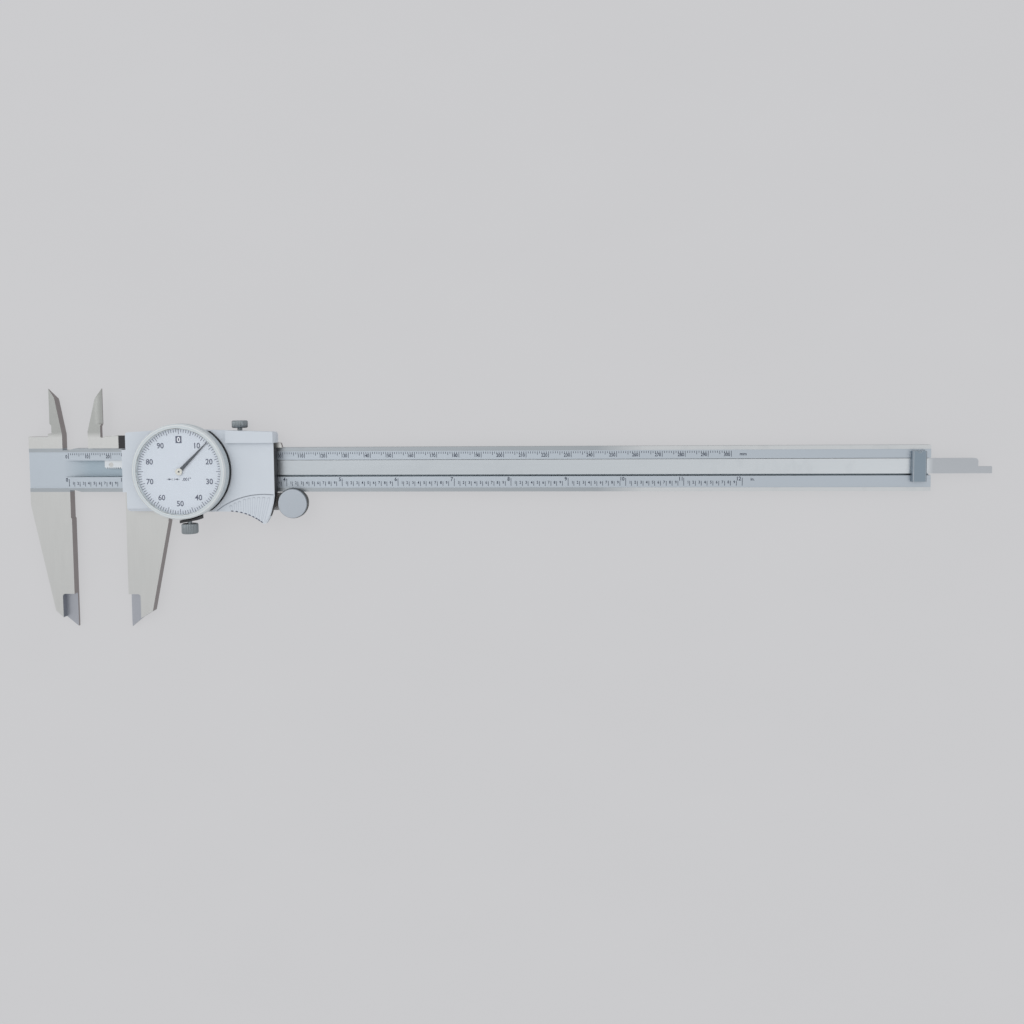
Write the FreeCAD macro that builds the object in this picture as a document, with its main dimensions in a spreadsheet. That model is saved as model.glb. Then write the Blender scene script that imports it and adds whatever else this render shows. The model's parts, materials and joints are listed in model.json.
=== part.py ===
import FreeCAD, Part
import math
import os
import re
import Sketcher
from FreeCAD import Rotation, Vector

# Dial caliper, 12 inch and 300 mm. Millimetres.
# X runs along the beam from the fixed outside jaw's measuring face, Y across the beam towards the
# inside jaws, Z out of the dial. Each piece is drawn in these datum axes, or about its own axis, and
# its Placement puts it in the part's frame: under the middle of the whole instrument as it lies.

document = FreeCAD.newDocument("dial_caliper")
sheet = document.addObject("Spreadsheet::Sheet", "Sizes")
names = []


def size(name, worth, meaning):
    """Write one named size on the next row of the sheet."""
    row = str(len(names) + 1)
    sheet.set("A" + row, meaning)
    sheet.set("B" + row, worth)
    sheet.setAlias("B" + row, name)
    names.append(name)


# Opening and travel
size("opening", "25.7175", "gap between the outside jaws as it lies")
size("full_travel", "304.8", "travel on the scales, 12 inch")
size("inch", "25.4", "one inch")
size("per_turn", "=inch / 10", "slider travel for one turn of the hand")

# Beam with the fixed jaws
size("beam_wide", "20", "width of the beam")
size("beam_thick", "4", "thickness of the beam and of the jaws")
size("beam_past", "79.8", "beam past the full travel")
size("beam_end", "=full_travel + beam_past", "beam's right end from the closed jaws")
size("beam_top", "=beam_wide / 2", "upper guide edge")
size("head_left", "19.25", "left side of the fixed head")
size("head_top", "15.4", "top of the fixed head")
size("head_low", "16", "where the fixed jaw starts to taper")
size("jaw_reach", "73", "outside jaw tips below the beam's middle")
size("jaw_shoulder", "65.2", "where the jaw back turns towards the tip")
size("jaw_nose", "9.1", "jaw width at that shoulder")
size("face_relief", "0.4", "relief of the fixed face next to the beam")
size("face_start", "22", "where the fixed measuring face starts")
size("corner_relief", "0.8", "undercut of the guide edges beside the jaws")
size("relief_long", "2.5", "upper undercut past the closed face")
size("relief_low_long", "5", "lower undercut past the closed face")
size("relief_run", "2.8", "run of the undercuts' slopes")
size("knife_wide", "5.6", "width of the thinned jaw tips")
size("knife_start", "59.3", "where the thinned tips start")
size("knife_thick", "1.2", "thickness of the thinned tips")
size("knife_round", "1.2", "corner radius of the thinned tips")
size("band_half", "8.3", "half width of the satin scale band")
size("band_deep", "0.15", "depth of the scale band")
size("groove_low", "3.2", "groove's lower wall below the middle")
size("groove_high", "4.4", "groove's upper wall above the middle")
size("groove_floor", "1", "web left under the groove")
size("groove_start", "-3", "where the groove's run-out starts")
size("groove_ramp", "7", "length of the run-out")
size("past", "1", "how far a cut runs past the metal")
size("tip_low", "3.4", "turn of the jaw tip below its shoulder")
size("tip_in", "5.4", "turn of the jaw tip from its face")

# Inside jaws
size("inside_edge", "-9.2", "inside measuring edges with the jaws closed")
size("inside_tip", "37.3", "inside jaw tips above the middle")
size("inside_shoulder", "32.9", "where the inside jaws turn towards the tip")
size("inside_step", "0.3", "relief of the fixed inside edge's front")
size("inside_thin", "0.5", "thickness of the inside edges")
size("inside_wide", "3.4", "width of the relieved inside edge at its foot")
size("inside_wide_top", "2.5", "width of the relieved inside edge at its tip")
size("inside_start", "21.3", "where the fixed inside edge starts")
size("inside_bevel", "3", "width of the inside edges' bevels")
size("inside_bend", "16.4", "where the fixed inside jaw's right side bends")
size("inside_foot", "16.8", "foot of the thinned inside edge")
size("inside_back", "-3.3", "right side of the fixed inside jaw at its foot")
size("inside_back_top", "-6.4", "right side of the fixed inside jaw at its shoulder")
size("arm_left", "-15.7", "left side of the sliding inside jaw, closed")
size("arm_low", "10.1", "lower edge of the arm")
size("arm_high", "15.9", "upper edge of the arm")
size("blade_bend", "17.6", "where the sliding blade starts to taper")
size("blade_neck", "-11.85", "left side of the sliding blade at its shoulder")
size("blade_notch", "1.1", "relief at the sliding blade's foot")
size("notch_high", "21.2", "top of that relief")
size("arm_dip", "15.1", "lower part of the arm's upper edge")
size("dip_right", "-5", "right end of that part, closed")
size("dip_slope", "2", "run of the slope beside it")

# Slider
size("slide_gap", "0.15", "running clearance in front of and behind the beam")
size("edge_gap", "0.05", "running clearance at a guide edge")
size("plate_thick", "2", "thickness of the slider's front plate")
size("plate_low", "=beam_thick + slide_gap", "back of the front plate")
size("plate_high", "=plate_low + plate_thick", "front of the front plate")
size("slider_left", "3.7", "left end of the slider's walls, closed")
size("slider_half", "17", "half width of the slider")
size("jaw_wide", "19.9", "width of the sliding jaw at its top")
size("jaw_slope_start", "23.7", "where the sliding jaw's back starts to taper")
size("slide_nose", "11.2", "sliding jaw's width at its shoulder")
size("horn_long", "4.4", "beak of the slider past its right end")
size("horn_high", "12.8", "upper corner of the beak")
size("horn_drop", "0.6", "slope of the beak's upper side")
size("gib_thick", "0.9", "thickness of the gib")
size("gib_inset", "2", "gib's ends inside the slider's ends")
size("gib_side", "0.3", "gib's edges inside the beam's faces")
size("wall_in", "=beam_top + edge_gap + gib_thick + edge_gap", "inner side of the upper wall")

# Back plate and its roller lobe
size("back_thick", "1.2", "thickness of the back plate")
size("back_inset", "0.6", "back plate's edge inside the slider's")
size("back_round", "1.5", "corner radius of the back plate")
size("back_screw_in", "3.4", "back screws from the slider's ends")
size("back_screw_y", "14.1", "back screws from the middle")
size("screw_shank", "0.8", "radius of the small screws")
size("screw_head", "1.4", "radius of the small screws' heads")
size("screw_head_deep", "0.6", "height of the small screws' heads")
size("screw_bite", "2.6", "length of a screw in its wall")
size("slot_wide", "0.3", "width of a screw slot")
size("slot_deep", "0.3", "depth of a screw slot")

# Gib screws and lock screw
size("gib_screw_in", "9", "gib screws from the slider's ends")
size("gib_screw_sunk", "0.5", "gib screws below the top of the slider")
size("lock_x", "53.7", "lock screw from the closed face")
size("edge_mid", "=beam_thick / 2", "middle of the beam's thickness")
size("lock_z", "2.6", "lock screw's height")
size("lock_head", "3.5", "radius of the lock screw's head")
size("lock_head_tall", "3.3", "height of the lock screw's head")
size("lock_head_up", "2", "lock screw's head above the slider")
size("lock_shank", "1.1", "radius of the lock screw")
size("lock_pad_tall", "1", "height of the shoe under the lock screw")
size("lock_free", "0.3", "gap between the loose lock screw and its shoe")
size("bore_play", "0.05", "radial play of a turning shank in its bore")
size("knurl_deep", "0.35", "depth of the coarse knurls")
size("knurl_past", "0.2", "a knurling cut past the head")
size("lock_knurls", "20", "grooves round the lock screw's head")

# Depth rod
size("rod_low", "2.4", "rod's lower edge below the middle")
size("rod_high", "4.2", "rod's upper edge above the middle")
size("rod_thick", "1.5", "thickness of the depth rod")
size("rod_under", "0.05", "rod's front below the scale band")
size("rod_top", "=beam_thick - band_deep - rod_under", "front of the depth rod")
size("rod_start", "48", "rod's left end, closed")
size("tongue_long", "5.8", "length of the rod's narrow nose")
size("tongue_high", "0.6", "upper edge of the nose above the middle")
size("tongue_round", "1.3", "radius beside the nose")
size("rivet_radius", "1", "radius of the rod's rivets")
size("rivet_collar", "1.7", "radius of their collars")
size("rivet_first", "5", "first rivet from the slider's right end")
size("rivet_pitch", "6", "distance between the rivets")
size("rod_mid", "=(rod_high - rod_low) / 2", "middle of the depth rod's width")

# Rack and gear train
size("pinion_teeth", "10", "teeth of the rack pinion")
size("gear_teeth", "48", "teeth of the drive and take-up gears")
size("centre_teeth", "12", "teeth of the centre pinion")
size("rack_pitch", "=per_turn * gear_teeth / centre_teeth / pinion_teeth", "pitch of the rack")
size("rack_module", "=rack_pitch / pi", "module of the rack and its pinion")
size("pinion_radius", "=rack_module * pinion_teeth / 2", "pitch radius of the rack pinion")
size("rack_addendum", "0.55", "rack tooth tip in modules")
size("tooth_root", "1.25", "tooth root in modules")
size("rack_left", "15.5", "rack's left end")
size("rack_past", "4", "rack past the pinion at full travel")
size("rack_side", "0.1", "gap between the rack and the groove's upper wall")
size("rack_thick", "1.2", "thickness of the rack")
size("rack_screw_in", "3", "rack screws from its ends")
size("rack_screw_mid", "2.3", "rack screws above the middle")
size("rack_screw_head", "1.1", "radius of the rack screws' heads")
size("dial_x", "30.2", "dial's axis, closed")
size("dial_y", "0.1", "dial's axis from the middle")
size("drive_y", "-0.9", "drive gear's axis from the middle")
size("gear_module", "0.25", "module of the gear train")
size("gear_addendum", "0.7", "gear tooth tip in modules")
size("full_addendum", "1", "pinion tooth tip in modules")
size("pressure_angle", "20", "pressure angle of every tooth")
size("backlash", "0.03", "play between meshing teeth")
size("gear_apart", "=gear_module * (gear_teeth + centre_teeth) / 2", "between the gears' axes")
size("train_y", "=drive_y - dial_y", "drive gear's axis from the dial's, across the beam")
size("train_x", "=sqrt(gear_apart * gear_apart - train_y * train_y)", "and along it")
size("train_tilt", "=asin(train_y / gear_apart) / 1 deg", "slope of the line through the gears' axes")
size("drive_x", "=dial_x + train_x", "drive gear's axis, closed")
size("takeup_x", "=dial_x - train_x", "take-up gear's axis, closed")
size("takeup_y", "=dial_y - train_y", "take-up gear's axis from the middle")
size("gear_thick", "0.4", "thickness of a gear")
size("gear_low", "7", "back of the gears")
size("pinion_under", "0.1", "pinion's ends inside the rack's faces")
size("arbor_radius", "0.6", "radius of the arbors")
size("pivot_play", "0.03", "radial play of the arbors in their bushes")
size("bush_radius", "1.4", "radius of the bushes")
size("arbor_hole", "2.1", "radius of the slider's hole for the rack pinion")
size("disc_radius", "16.2", "radius of the movement's two plates")
size("disc_thick", "0.6", "thickness of the movement's two plates")
size("bridge_low", "8.15", "back of the movement's front plate")
size("pillar_radius", "1.3", "radius of the pillars")
size("pillar_x", "7.3", "pillars from the dial's axis along the beam")
size("pillar_y", "12.6", "pillars from the dial's axis across the beam")
size("movement_bite", "1.2", "movement screws' reach into the slider")
size("collet_radius", "0.95", "radius of the hairspring's collet")
size("spring_inner", "1.15", "hairspring's inner radius")
size("spring_outer", "4.6", "hairspring's outer radius")
size("spring_turns", "4", "turns of the hairspring")
size("spring_strip", "0.12", "thickness of the hairspring's strip")
size("spring_low", "7.55", "back of the hairspring")
size("spring_steps", "14", "straight lengths in one turn of the hairspring")
size("spring_tall", "0.3", "width of the hairspring's strip")
size("stud_radius", "0.45", "radius of the hairspring's stud")

# Cover
size("cover_top", "9.5", "front of the cover")
size("cover_left", "3.4", "cover's left edge, closed")
size("cover_right", "71.3", "cover's right edge, closed")
size("cover_high", "17.4", "cover's upper edge")
size("cover_crown", "18.6", "cover's upper edge beside the dial")
size("crown_left", "24", "left end of that part")
size("crown_right", "36", "right end of that part")
size("cover_low", "18.4", "cover's lower edge")
size("cover_bevel", "1.5", "bevel of the cover's lower left edge")
size("cover_round", "1", "corner radius of the cover")
size("lip_left", "-0.7", "index edge, closed: over the zero lines")
size("lip_half", "9.6", "half width of the index lip")
size("lip_low", "4.3", "back of the index lip")
size("lip_edge", "0.5", "thickness of the index edge")
size("lip_slope", "2.3", "run of the index lip's slope")
size("opening_radius", "16.8", "radius of the cover's hole for the movement")
size("ledge_low", "12.5", "lower side of the raised ledge")
size("ledge_left", "50", "left end of the raised ledge")
size("ledge_past", "1.1", "raised ledge past the cover's right edge")
size("ledge_tall", "1.8", "height of the raised ledge")
size("ledge_round", "1.6", "corner radius of the ledge")
size("ledge_slope", "0.9", "bevel of the ledge's end")
size("crown_fall", "=(cover_crown - cover_high) / (cover_right - crown_right)", "slope beside the crown")
size("ledge_high", "=cover_high + crown_fall * (cover_right - ledge_left)", "ledge's upper left corner")
size("rest_high", "10.4", "thumb rest's upper edge below the middle")
size("rest_tip_x", "66.9", "right side of the thumb rest's tip")
size("rest_tip_wide", "1.2", "width of that tip")
size("rest_tip_y", "23.9", "tip of the thumb rest below the middle")
size("hollow_radius", "25", "radius of the thumb rest's finger edge")
size("hollow_x", "50", "where the finger edge starts")
size("rest_radius", "35.5", "radius of the thumb rest's upper line")
size("rest_axis_x", "66.3", "where that line is level")
size("rest_deep", "0.5", "thumb rest below the cover's front")
size("rest_side_x", "70.6", "upper turn of the thumb rest's right side")
size("rest_side_y", "14.8", "that turn below the middle")
size("rest_turn_x", "69.2", "lower turn of the thumb rest's right side")
size("rest_turn_y", "20", "that turn below the middle")
size("rest_tip_round", "0.8", "radius of the thumb rest's tip")
size("rest_turn_round", "10", "radius of its right side")
size("rib_count", "8", "grooves of the thumb rest")
size("rib_first", "52.4", "first groove")
size("rib_pitch", "1.95", "pitch of the grooves")
size("rib_half", "0.4", "half width of a groove")
size("rib_deep", "0.4", "depth of a groove")
size("rib_drop", "1.6", "grooves below the thumb rest's upper line")
size("rib_lean", "33", "radius to which the grooves bend")

# Dial
size("housing_low", "=cover_top", "back of the dial housing")
size("flange_flat", "17.8", "flats of the flange from the dial's axis")
size("flange_radius", "21.7", "radius of the housing's black flange")
size("flange_thick", "1", "thickness of the flange")
size("housing_radius", "17.5", "outer radius of the housing's wall")
size("housing_wall", "0.9", "thickness of the housing's wall")
size("housing_floor", "0.6", "thickness of the housing's floor")
size("housing_hole", "2", "radius of the housing's hole for the hand arbor")
size("housing_top", "13.9", "front of the housing's wall")
size("bezel_radius", "21.3", "outer radius of the bezel")
size("bezel_low", "10.7", "back of the bezel")
size("bezel_top", "16.2", "front of the bezel")
size("bezel_in", "19.3", "inner radius of the bezel")
size("bezel_play", "0.3", "bezel round the housing")
size("bezel_chamfer", "0.7", "chamfer of the bezel's front")
size("seat_high", "14", "bezel's seat for the dial")
size("dial_thick", "0.4", "thickness of the dial")
size("dial_fit", "0.05", "dial inside the bezel")
size("dial_hole", "1.2", "radius of the dial's hole")
size("ring_wall", "0.3", "thickness of the ring over the dial")
size("crystal_low", "15.5", "back of the crystal")
size("crystal_thick", "0.5", "thickness of the crystal")
size("hand_low", "14.8", "back of the hand")
size("hand_thick", "0.2", "thickness of the hand")
size("hand_long", "18.4", "hand from its axis to its tip")
size("hand_wide", "1.7", "width of the hand at its hub")
size("hand_point", "0.3", "width of the hand at its tip")
size("hub_radius", "1.1", "radius of the hand's hub")
size("hub_tall", "0.3", "length of the hand's hub")
size("cap_radius", "1.55", "radius of the cap on the hand")
size("cap_tall", "0.3", "height of the cap")

# Bezel clamp
size("clamp_x", "33.5", "clamp screw's axis, closed")
size("clamp_z", "12.5", "clamp screw's height")
size("clamp_left", "29.7", "left side of the clamp bracket, closed")
size("clamp_wide", "8.3", "width of the clamp bracket")
size("clamp_thick", "1.3", "thickness of the clamp bracket")
size("clamp_rise", "1.5", "slope of the bracket along the bezel")
size("clamp_gap", "0.5", "bracket in front of the bezel")
size("clamp_top", "14.4", "front end of the clamp bracket")
size("clamp_head", "3.6", "radius of the clamp screw's head")
size("clamp_head_long", "4.4", "length of the clamp screw's head")
size("clamp_shank", "1", "radius of the clamp screw")
size("clamp_free", "0.25", "gap between the loose clamp screw and the bezel")
size("clamp_knurls", "20", "grooves round the clamp screw's head")

# Thumb roller
size("roller_x", "78.8", "roller's axis, closed")
size("roller_gap", "0.02", "gap between the roller's drum and the beam")
size("roller_drum", "4.9", "radius of the roller's drum")
size("roller_head", "6.8", "radius of the roller's head")
size("roller_low", "4.3", "back of the roller's head")
size("roller_top", "8", "front of the roller's head")
size("roller_bevel", "0.4", "bevel of the roller's face")
size("roller_knurls", "36", "grooves round the roller's head")
size("roller_knurl_deep", "0.3", "depth of the roller's knurl")
size("axle_radius", "1.5", "radius of the roller's axle")
size("axle_top", "5.2", "front end of the roller's axle")
size("axle_end_gap", "0.3", "gap over the axle's end")
size("lobe_radius", "5", "radius of the back plate's lobe")
size("neck_half", "4", "half width of the neck to the lobe")

# Seals and end stop
size("seal_left", "-0.6", "left side of the left wiper, closed")
size("seal_gap", "0.3", "gap between the left wiper and the cover")
size("seal_tall", "1.6", "height of the left wiper")
size("wiper_thick", "1.4", "length of the right wiper")
size("wiper_half", "9.9", "half width of the right wiper")
size("wiper_gap", "0.2", "right wiper in front of the beam")
size("stop_inset", "8.6", "end stop's left side from the beam's end")
size("stop_left", "=beam_end - stop_inset", "left side of the end stop")
size("stop_room", "0.1", "gap from the right wiper to the end stop at full travel")
size("slider_right", "=stop_left - full_travel - wiper_thick - stop_room",
     "right end of the slider's walls, closed")
size("stop_long", "6.2", "length of the end stop")
size("stop_low", "5.9", "end stop's lower edge below the middle")
size("stop_high", "7.5", "end stop's upper edge above the middle")
size("stop_bevel", "0.5", "bevel of the end stop's front")
size("stop_sunk", "0.7", "end stop's screws below its front")
size("stop_top", "6", "front of the end stop")
size("stop_screw_low", "4.5", "end stop's lower screw below the middle")
size("stop_screw_high", "5.7", "end stop's upper screw above the middle")

# Middle of the instrument as it lies, and its back
size("rod_reach", "=beam_end + opening", "depth rod's tip")
size("row_x", "=(head_left - rod_reach) / 2", "datum to the frame along X")
size("row_y", "=(jaw_reach - inside_tip) / 2", "datum to the frame along Y")
size("row_z", "=slide_gap + back_thick", "datum to the frame along Z")
size("slider_x", "=row_x + opening", "slider's datum in the frame")
size("roller_y", "=-beam_top - roller_gap - roller_drum", "roller's axis below the middle")
size("pinion_turn", "=opening / pinion_radius * 180 / pi", "turn of the rack pinion since closed")
size("hand_turn", "=-opening / per_turn * 360", "turn of the hand since closed")
document.recompute()


def tied(text):
    """The same expression as an object outside the sheet writes it."""
    return re.sub(r"[a-z]\w*", lambda word: "Sizes." + word[0] if word[0] in names else word[0], text)


def worth(text):
    """What an expression on the sheet's names comes to now."""
    return float(sheet.evalExpression(text))


pieces = []


def body(label):
    item = document.addObject("PartDesign::Body", label)
    item.Label = label
    pieces.append(item)
    return item


def put(item, x="row_x", y="row_y", z="row_z", turn=None):
    """Tie a piece's Placement to the sheet, with a turn in degrees about Z where it has one."""
    for letter, text in zip("xyz", (x, y, z)):
        item.setExpression("Placement.Base." + letter, tied(text))
    if turn:
        item.Placement.Rotation = Rotation(Vector(0, 0, 1), 1)
        item.setExpression("Placement.Rotation.Angle", tied(turn))


def on_slider(item, x="slider_x", y="row_y", z="row_z", turn=None):
    put(item, x, y, z, turn)


def sketch(item, plane="XY_Plane", lift="0"):
    """A sketch on one of the body's own planes, lifted along that plane's normal."""
    drawing = item.newObject("Sketcher::SketchObject", item.Label + "_sketch")
    origin_plane = [side for side in item.Origin.OriginFeatures if side.Role == plane][0]
    drawing.AttachmentSupport = [(origin_plane, "")]
    drawing.MapMode = "FlatFace"
    drawing.setExpression("AttachmentOffset.Base.z", tied(lift))
    return drawing


def hold(drawing, kind, edge, end, text):
    """Dimension one point of a sketch from its origin with an expression."""
    label = "%s_%d_%d" % (kind, edge, end)
    order = drawing.addConstraint(Sketcher.Constraint(kind, -1, 1, edge, end, worth(text)))
    drawing.renameConstraint(order, label)
    drawing.setExpression("Constraints." + label, tied(text))


def outline(drawing, corners):
    """A closed outline of straight edges through corners given as pairs of expressions."""
    first = drawing.GeometryCount
    spots = [Vector(worth(x), worth(y), 0) for x, y in corners]
    for spot, following in zip(spots, spots[1:] + spots[:1]):
        drawing.addGeometry(Part.LineSegment(spot, following), False)
    for number, (x, y) in enumerate(corners):
        following = first + (number + 1) % len(corners)
        drawing.addConstraint(Sketcher.Constraint("Coincident", first + number, 2, following, 1))
        hold(drawing, "DistanceX", first + number, 1, x)
        hold(drawing, "DistanceY", first + number, 1, y)
    return drawing


def box_corners(left, low, right, high):
    return [(left, low), (right, low), (right, high), (left, high)]


def circle(drawing, x, y, radius):
    ring = Part.Circle(Vector(worth(x), worth(y), 0), Vector(0, 0, 1), worth(radius))
    edge = drawing.addGeometry(ring, False)
    order = drawing.addConstraint(Sketcher.Constraint("Radius", edge, worth(radius)))
    drawing.renameConstraint(order, "Radius_%d" % edge)
    drawing.setExpression("Constraints.Radius_%d" % edge, tied(radius))
    hold(drawing, "DistanceX", edge, 3, x)
    hold(drawing, "DistanceY", edge, 3, y)
    return drawing


def pad(item, drawing, length, reverse=False):
    feature = item.newObject("PartDesign::Pad", item.Label + "_pad")
    feature.Profile = drawing
    feature.Reversed = reverse
    feature.setExpression("Length", tied(length))
    drawing.Visibility = False
    return feature


def pocket(item, drawing, length, reverse=False):
    feature = item.newObject("PartDesign::Pocket", item.Label + "_pocket")
    feature.Profile = drawing
    feature.Reversed = reverse
    feature.setExpression("Length", tied(length))
    return feature


def turned(item, profile):
    """A full turn about Z of a half profile of (radius, height) pairs drawn on the XZ plane."""
    drawing = outline(sketch(item, "XZ_Plane"), profile)
    feature = item.newObject("PartDesign::Revolution", item.Label + "_turned")
    feature.Profile = drawing
    feature.ReferenceAxis = (drawing, ["V_Axis"])
    feature.Angle = 360
    return feature


def round_edges(item, radius, wanted):
    """Fillet the edges of a body's last solid that the given test picks."""
    document.recompute()
    tip = item.Tip
    chosen = ["Edge%d" % (number + 1) for number, edge in enumerate(tip.Shape.Edges) if wanted(edge)]
    feature = item.newObject("PartDesign::Fillet", item.Label + "_round")
    feature.Base = (tip, chosen)
    feature.setExpression("Radius", tied(radius))
    return feature


def upright_at(*spots):
    """A test for straight edges along Z that stand at one of the given (x, y) expressions."""
    places = [(worth(x), worth(y)) for x, y in spots]

    def wanted(edge):
        ends = [vertex.Point for vertex in edge.Vertexes]
        if len(ends) != 2 or abs(ends[0].z - ends[1].z) < 0.01:
            return False
        return any(all(math.hypot(end.x - x, end.y - y) < 0.01 for end in ends) for x, y in places)

    return wanted


def repeat_about(item, feature, drawing, count):
    """Repeat a feature round the sketch's normal through the body's origin."""
    pattern = item.newObject("PartDesign::PolarPattern", item.Label + "_repeat")
    pattern.Originals = [feature]
    pattern.Axis = (drawing, ["N_Axis"])
    pattern.Angle = 360
    pattern.setExpression("Occurrences", tied(count))
    item.Tip = pattern
    return pattern


def shaped(label, shape):
    """A piece whose curve is worked out in code, from the sheet's sizes."""
    item = document.addObject("Part::Feature", label)
    item.Label = label
    item.Shape = shape
    pieces.append(item)
    return item


# Beam with its fixed jaws, one ground piece
beam = body("beam")
beam_outline = [
    ("-head_left", "head_top"),
    ("inside_edge - corner_relief", "head_top"),
    ("inside_edge - corner_relief", "inside_foot"),
    ("inside_edge + corner_relief", "inside_foot"),
    ("inside_edge + corner_relief", "inside_start - corner_relief"),
    ("inside_edge", "inside_start"),
    ("inside_edge", "inside_tip"),
    ("inside_back_top", "inside_shoulder"),
    ("inside_back", "inside_bend"),
    ("inside_back", "beam_top - corner_relief"),
    ("relief_long - relief_run", "beam_top - corner_relief"),
    ("relief_long", "beam_top"),
    ("beam_end", "beam_top"),
    ("beam_end", "-beam_top"),
    ("relief_low_long", "-beam_top"),
    ("relief_low_long - relief_run", "-beam_top + corner_relief"),
    ("-face_relief", "-beam_top + corner_relief"),
    ("-face_relief", "-face_start"),
    ("0", "-face_start - face_relief"),
    ("0", "-jaw_reach"),
    ("-tip_in", "-jaw_shoulder - tip_low"),
    ("-jaw_nose", "-jaw_shoulder"),
    ("-head_left", "-head_low"),
]
pad(beam, outline(sketch(beam), beam_outline), "beam_thick")
groove_side = [
    ("groove_start", "beam_thick + past"),
    ("groove_start", "beam_thick"),
    ("groove_start + groove_ramp", "groove_floor"),
    ("beam_end + past", "groove_floor"),
    ("beam_end + past", "beam_thick + past"),
]
pocket(beam, outline(sketch(beam, "XZ_Plane", "groove_low"), groove_side), "groove_low + groove_high")
band_corners = box_corners("-head_left - past", "-band_half", "beam_end + past", "band_half")
pocket(beam, outline(sketch(beam, lift="beam_thick"), band_corners), "band_deep")
knife_corners = box_corners("-knife_wide", "-jaw_reach - past", "past", "-knife_start")
pocket(beam, outline(sketch(beam, lift="beam_thick"), knife_corners), "beam_thick - knife_thick")
edge_corners = [
    ("inside_edge - past", "inside_foot"),
    ("inside_edge + inside_wide", "inside_foot"),
    ("inside_edge + inside_wide_top", "inside_tip"),
    ("inside_edge - past", "inside_tip"),
]
pocket(beam, outline(sketch(beam, lift="beam_thick"), edge_corners), "inside_step")
back_bevel = [
    ("inside_edge - past", "-past"),
    ("inside_edge + inside_bevel", "-past"),
    ("inside_edge + inside_bevel", "0"),
    ("inside_edge", "beam_thick - inside_step - inside_thin"),
    ("inside_edge - past", "beam_thick - inside_step - inside_thin"),
]
pocket(beam, outline(sketch(beam, "XZ_Plane", "-inside_tip"), back_bevel), "inside_tip - inside_start",
       reverse=True)
beam_bores = sketch(beam)
circle(beam_bores, "rack_left + rack_screw_in", "rack_screw_mid", "screw_shank")
circle(beam_bores, "drive_x + full_travel + rack_past - rack_screw_in", "rack_screw_mid", "screw_shank")
for stop_screw in ("-stop_screw_low", "stop_screw_high"):
    circle(beam_bores, "stop_left + stop_long / 2", stop_screw, "screw_shank")
pocket(beam, beam_bores, "beam_thick", reverse=True)
stop_seats = sketch(beam)
for stop_screw in ("-stop_screw_low", "stop_screw_high"):
    circle(stop_seats, "stop_left + stop_long / 2", stop_screw, "screw_head")
pocket(beam, stop_seats, "screw_head_deep", reverse=True)
round_edges(beam, "knife_round", upright_at(("-knife_wide", "-knife_start")))
put(beam)

# End stop on the beam, with its two screws from behind
end_stop = body("end_stop")
stop_side = [
    ("stop_left", "beam_thick - band_deep"),
    ("stop_left + stop_long", "beam_thick - band_deep"),
    ("stop_left + stop_long", "stop_top - stop_bevel"),
    ("stop_left + stop_long - stop_bevel", "stop_top"),
    ("stop_left + stop_bevel", "stop_top"),
    ("stop_left", "stop_top - stop_bevel"),
]
pad(end_stop, outline(sketch(end_stop, "XZ_Plane", "stop_low"), stop_side), "stop_low + stop_high",
    reverse=True)
stop_notch = circle(sketch(end_stop, lift="stop_top"), "stop_left + stop_long / 2", "stop_high",
                    "screw_shank")
pocket(end_stop, stop_notch, "screw_head_deep")
stop_bores = sketch(end_stop, lift="beam_thick - band_deep")
for stop_screw in ("-stop_screw_low", "stop_screw_high"):
    circle(stop_bores, "stop_left + stop_long / 2", stop_screw, "screw_shank")
pocket(end_stop, stop_bores, "stop_top - beam_thick", reverse=True)
put(end_stop)


def several(item, low, length, spots, radius):
    """Like upright cylinders in one body, at (x, y) expressions."""
    drawing = sketch(item, lift=low)
    for x, y in spots:
        circle(drawing, x, y, radius)
    return pad(item, drawing, length)


def drill(item, low, depth, spots, radius):
    """Like upright holes, cut upwards from low."""
    drawing = sketch(item, lift=low)
    for x, y in spots:
        circle(drawing, x, y, radius)
    return pocket(item, drawing, depth, reverse=True)


def knurl(item, feature_plane, lift, long, radius, deep, count):
    """V grooves round a head whose axis is the body's own, along the plane's normal."""
    drawing = sketch(item, feature_plane, lift)
    step = "pi * %s / %s / 2" % (radius, count)
    outer = radius + " + knurl_past"
    corners = [("%s - %s" % (radius, deep), "0"), (outer, "-" + step), (outer, step)]
    cut = pocket(item, outline(drawing, corners), long)
    document.recompute()
    return repeat_about(item, cut, drawing, count)


def slots(item, lift, spots, half):
    """A screwdriver slot across each head, cut down from lift."""
    drawing = sketch(item, lift=lift)
    for x, y in spots:
        low = "%s - slot_wide / 2" % y
        high = "%s + slot_wide / 2" % y
        outline(drawing, box_corners("%s - %s" % (x, half), low, "%s + %s" % (x, half), high))
    return pocket(item, drawing, "slot_deep")


stop_spots = [
    ("stop_left + stop_long / 2", "-stop_screw_low"),
    ("stop_left + stop_long / 2", "stop_screw_high"),
]
end_stop_screws = body("end_stop_screws")
several(end_stop_screws, "0", "stop_top - stop_sunk", stop_spots, "screw_shank")
several(end_stop_screws, "0", "screw_head_deep", stop_spots, "screw_head")
put(end_stop_screws)

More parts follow.
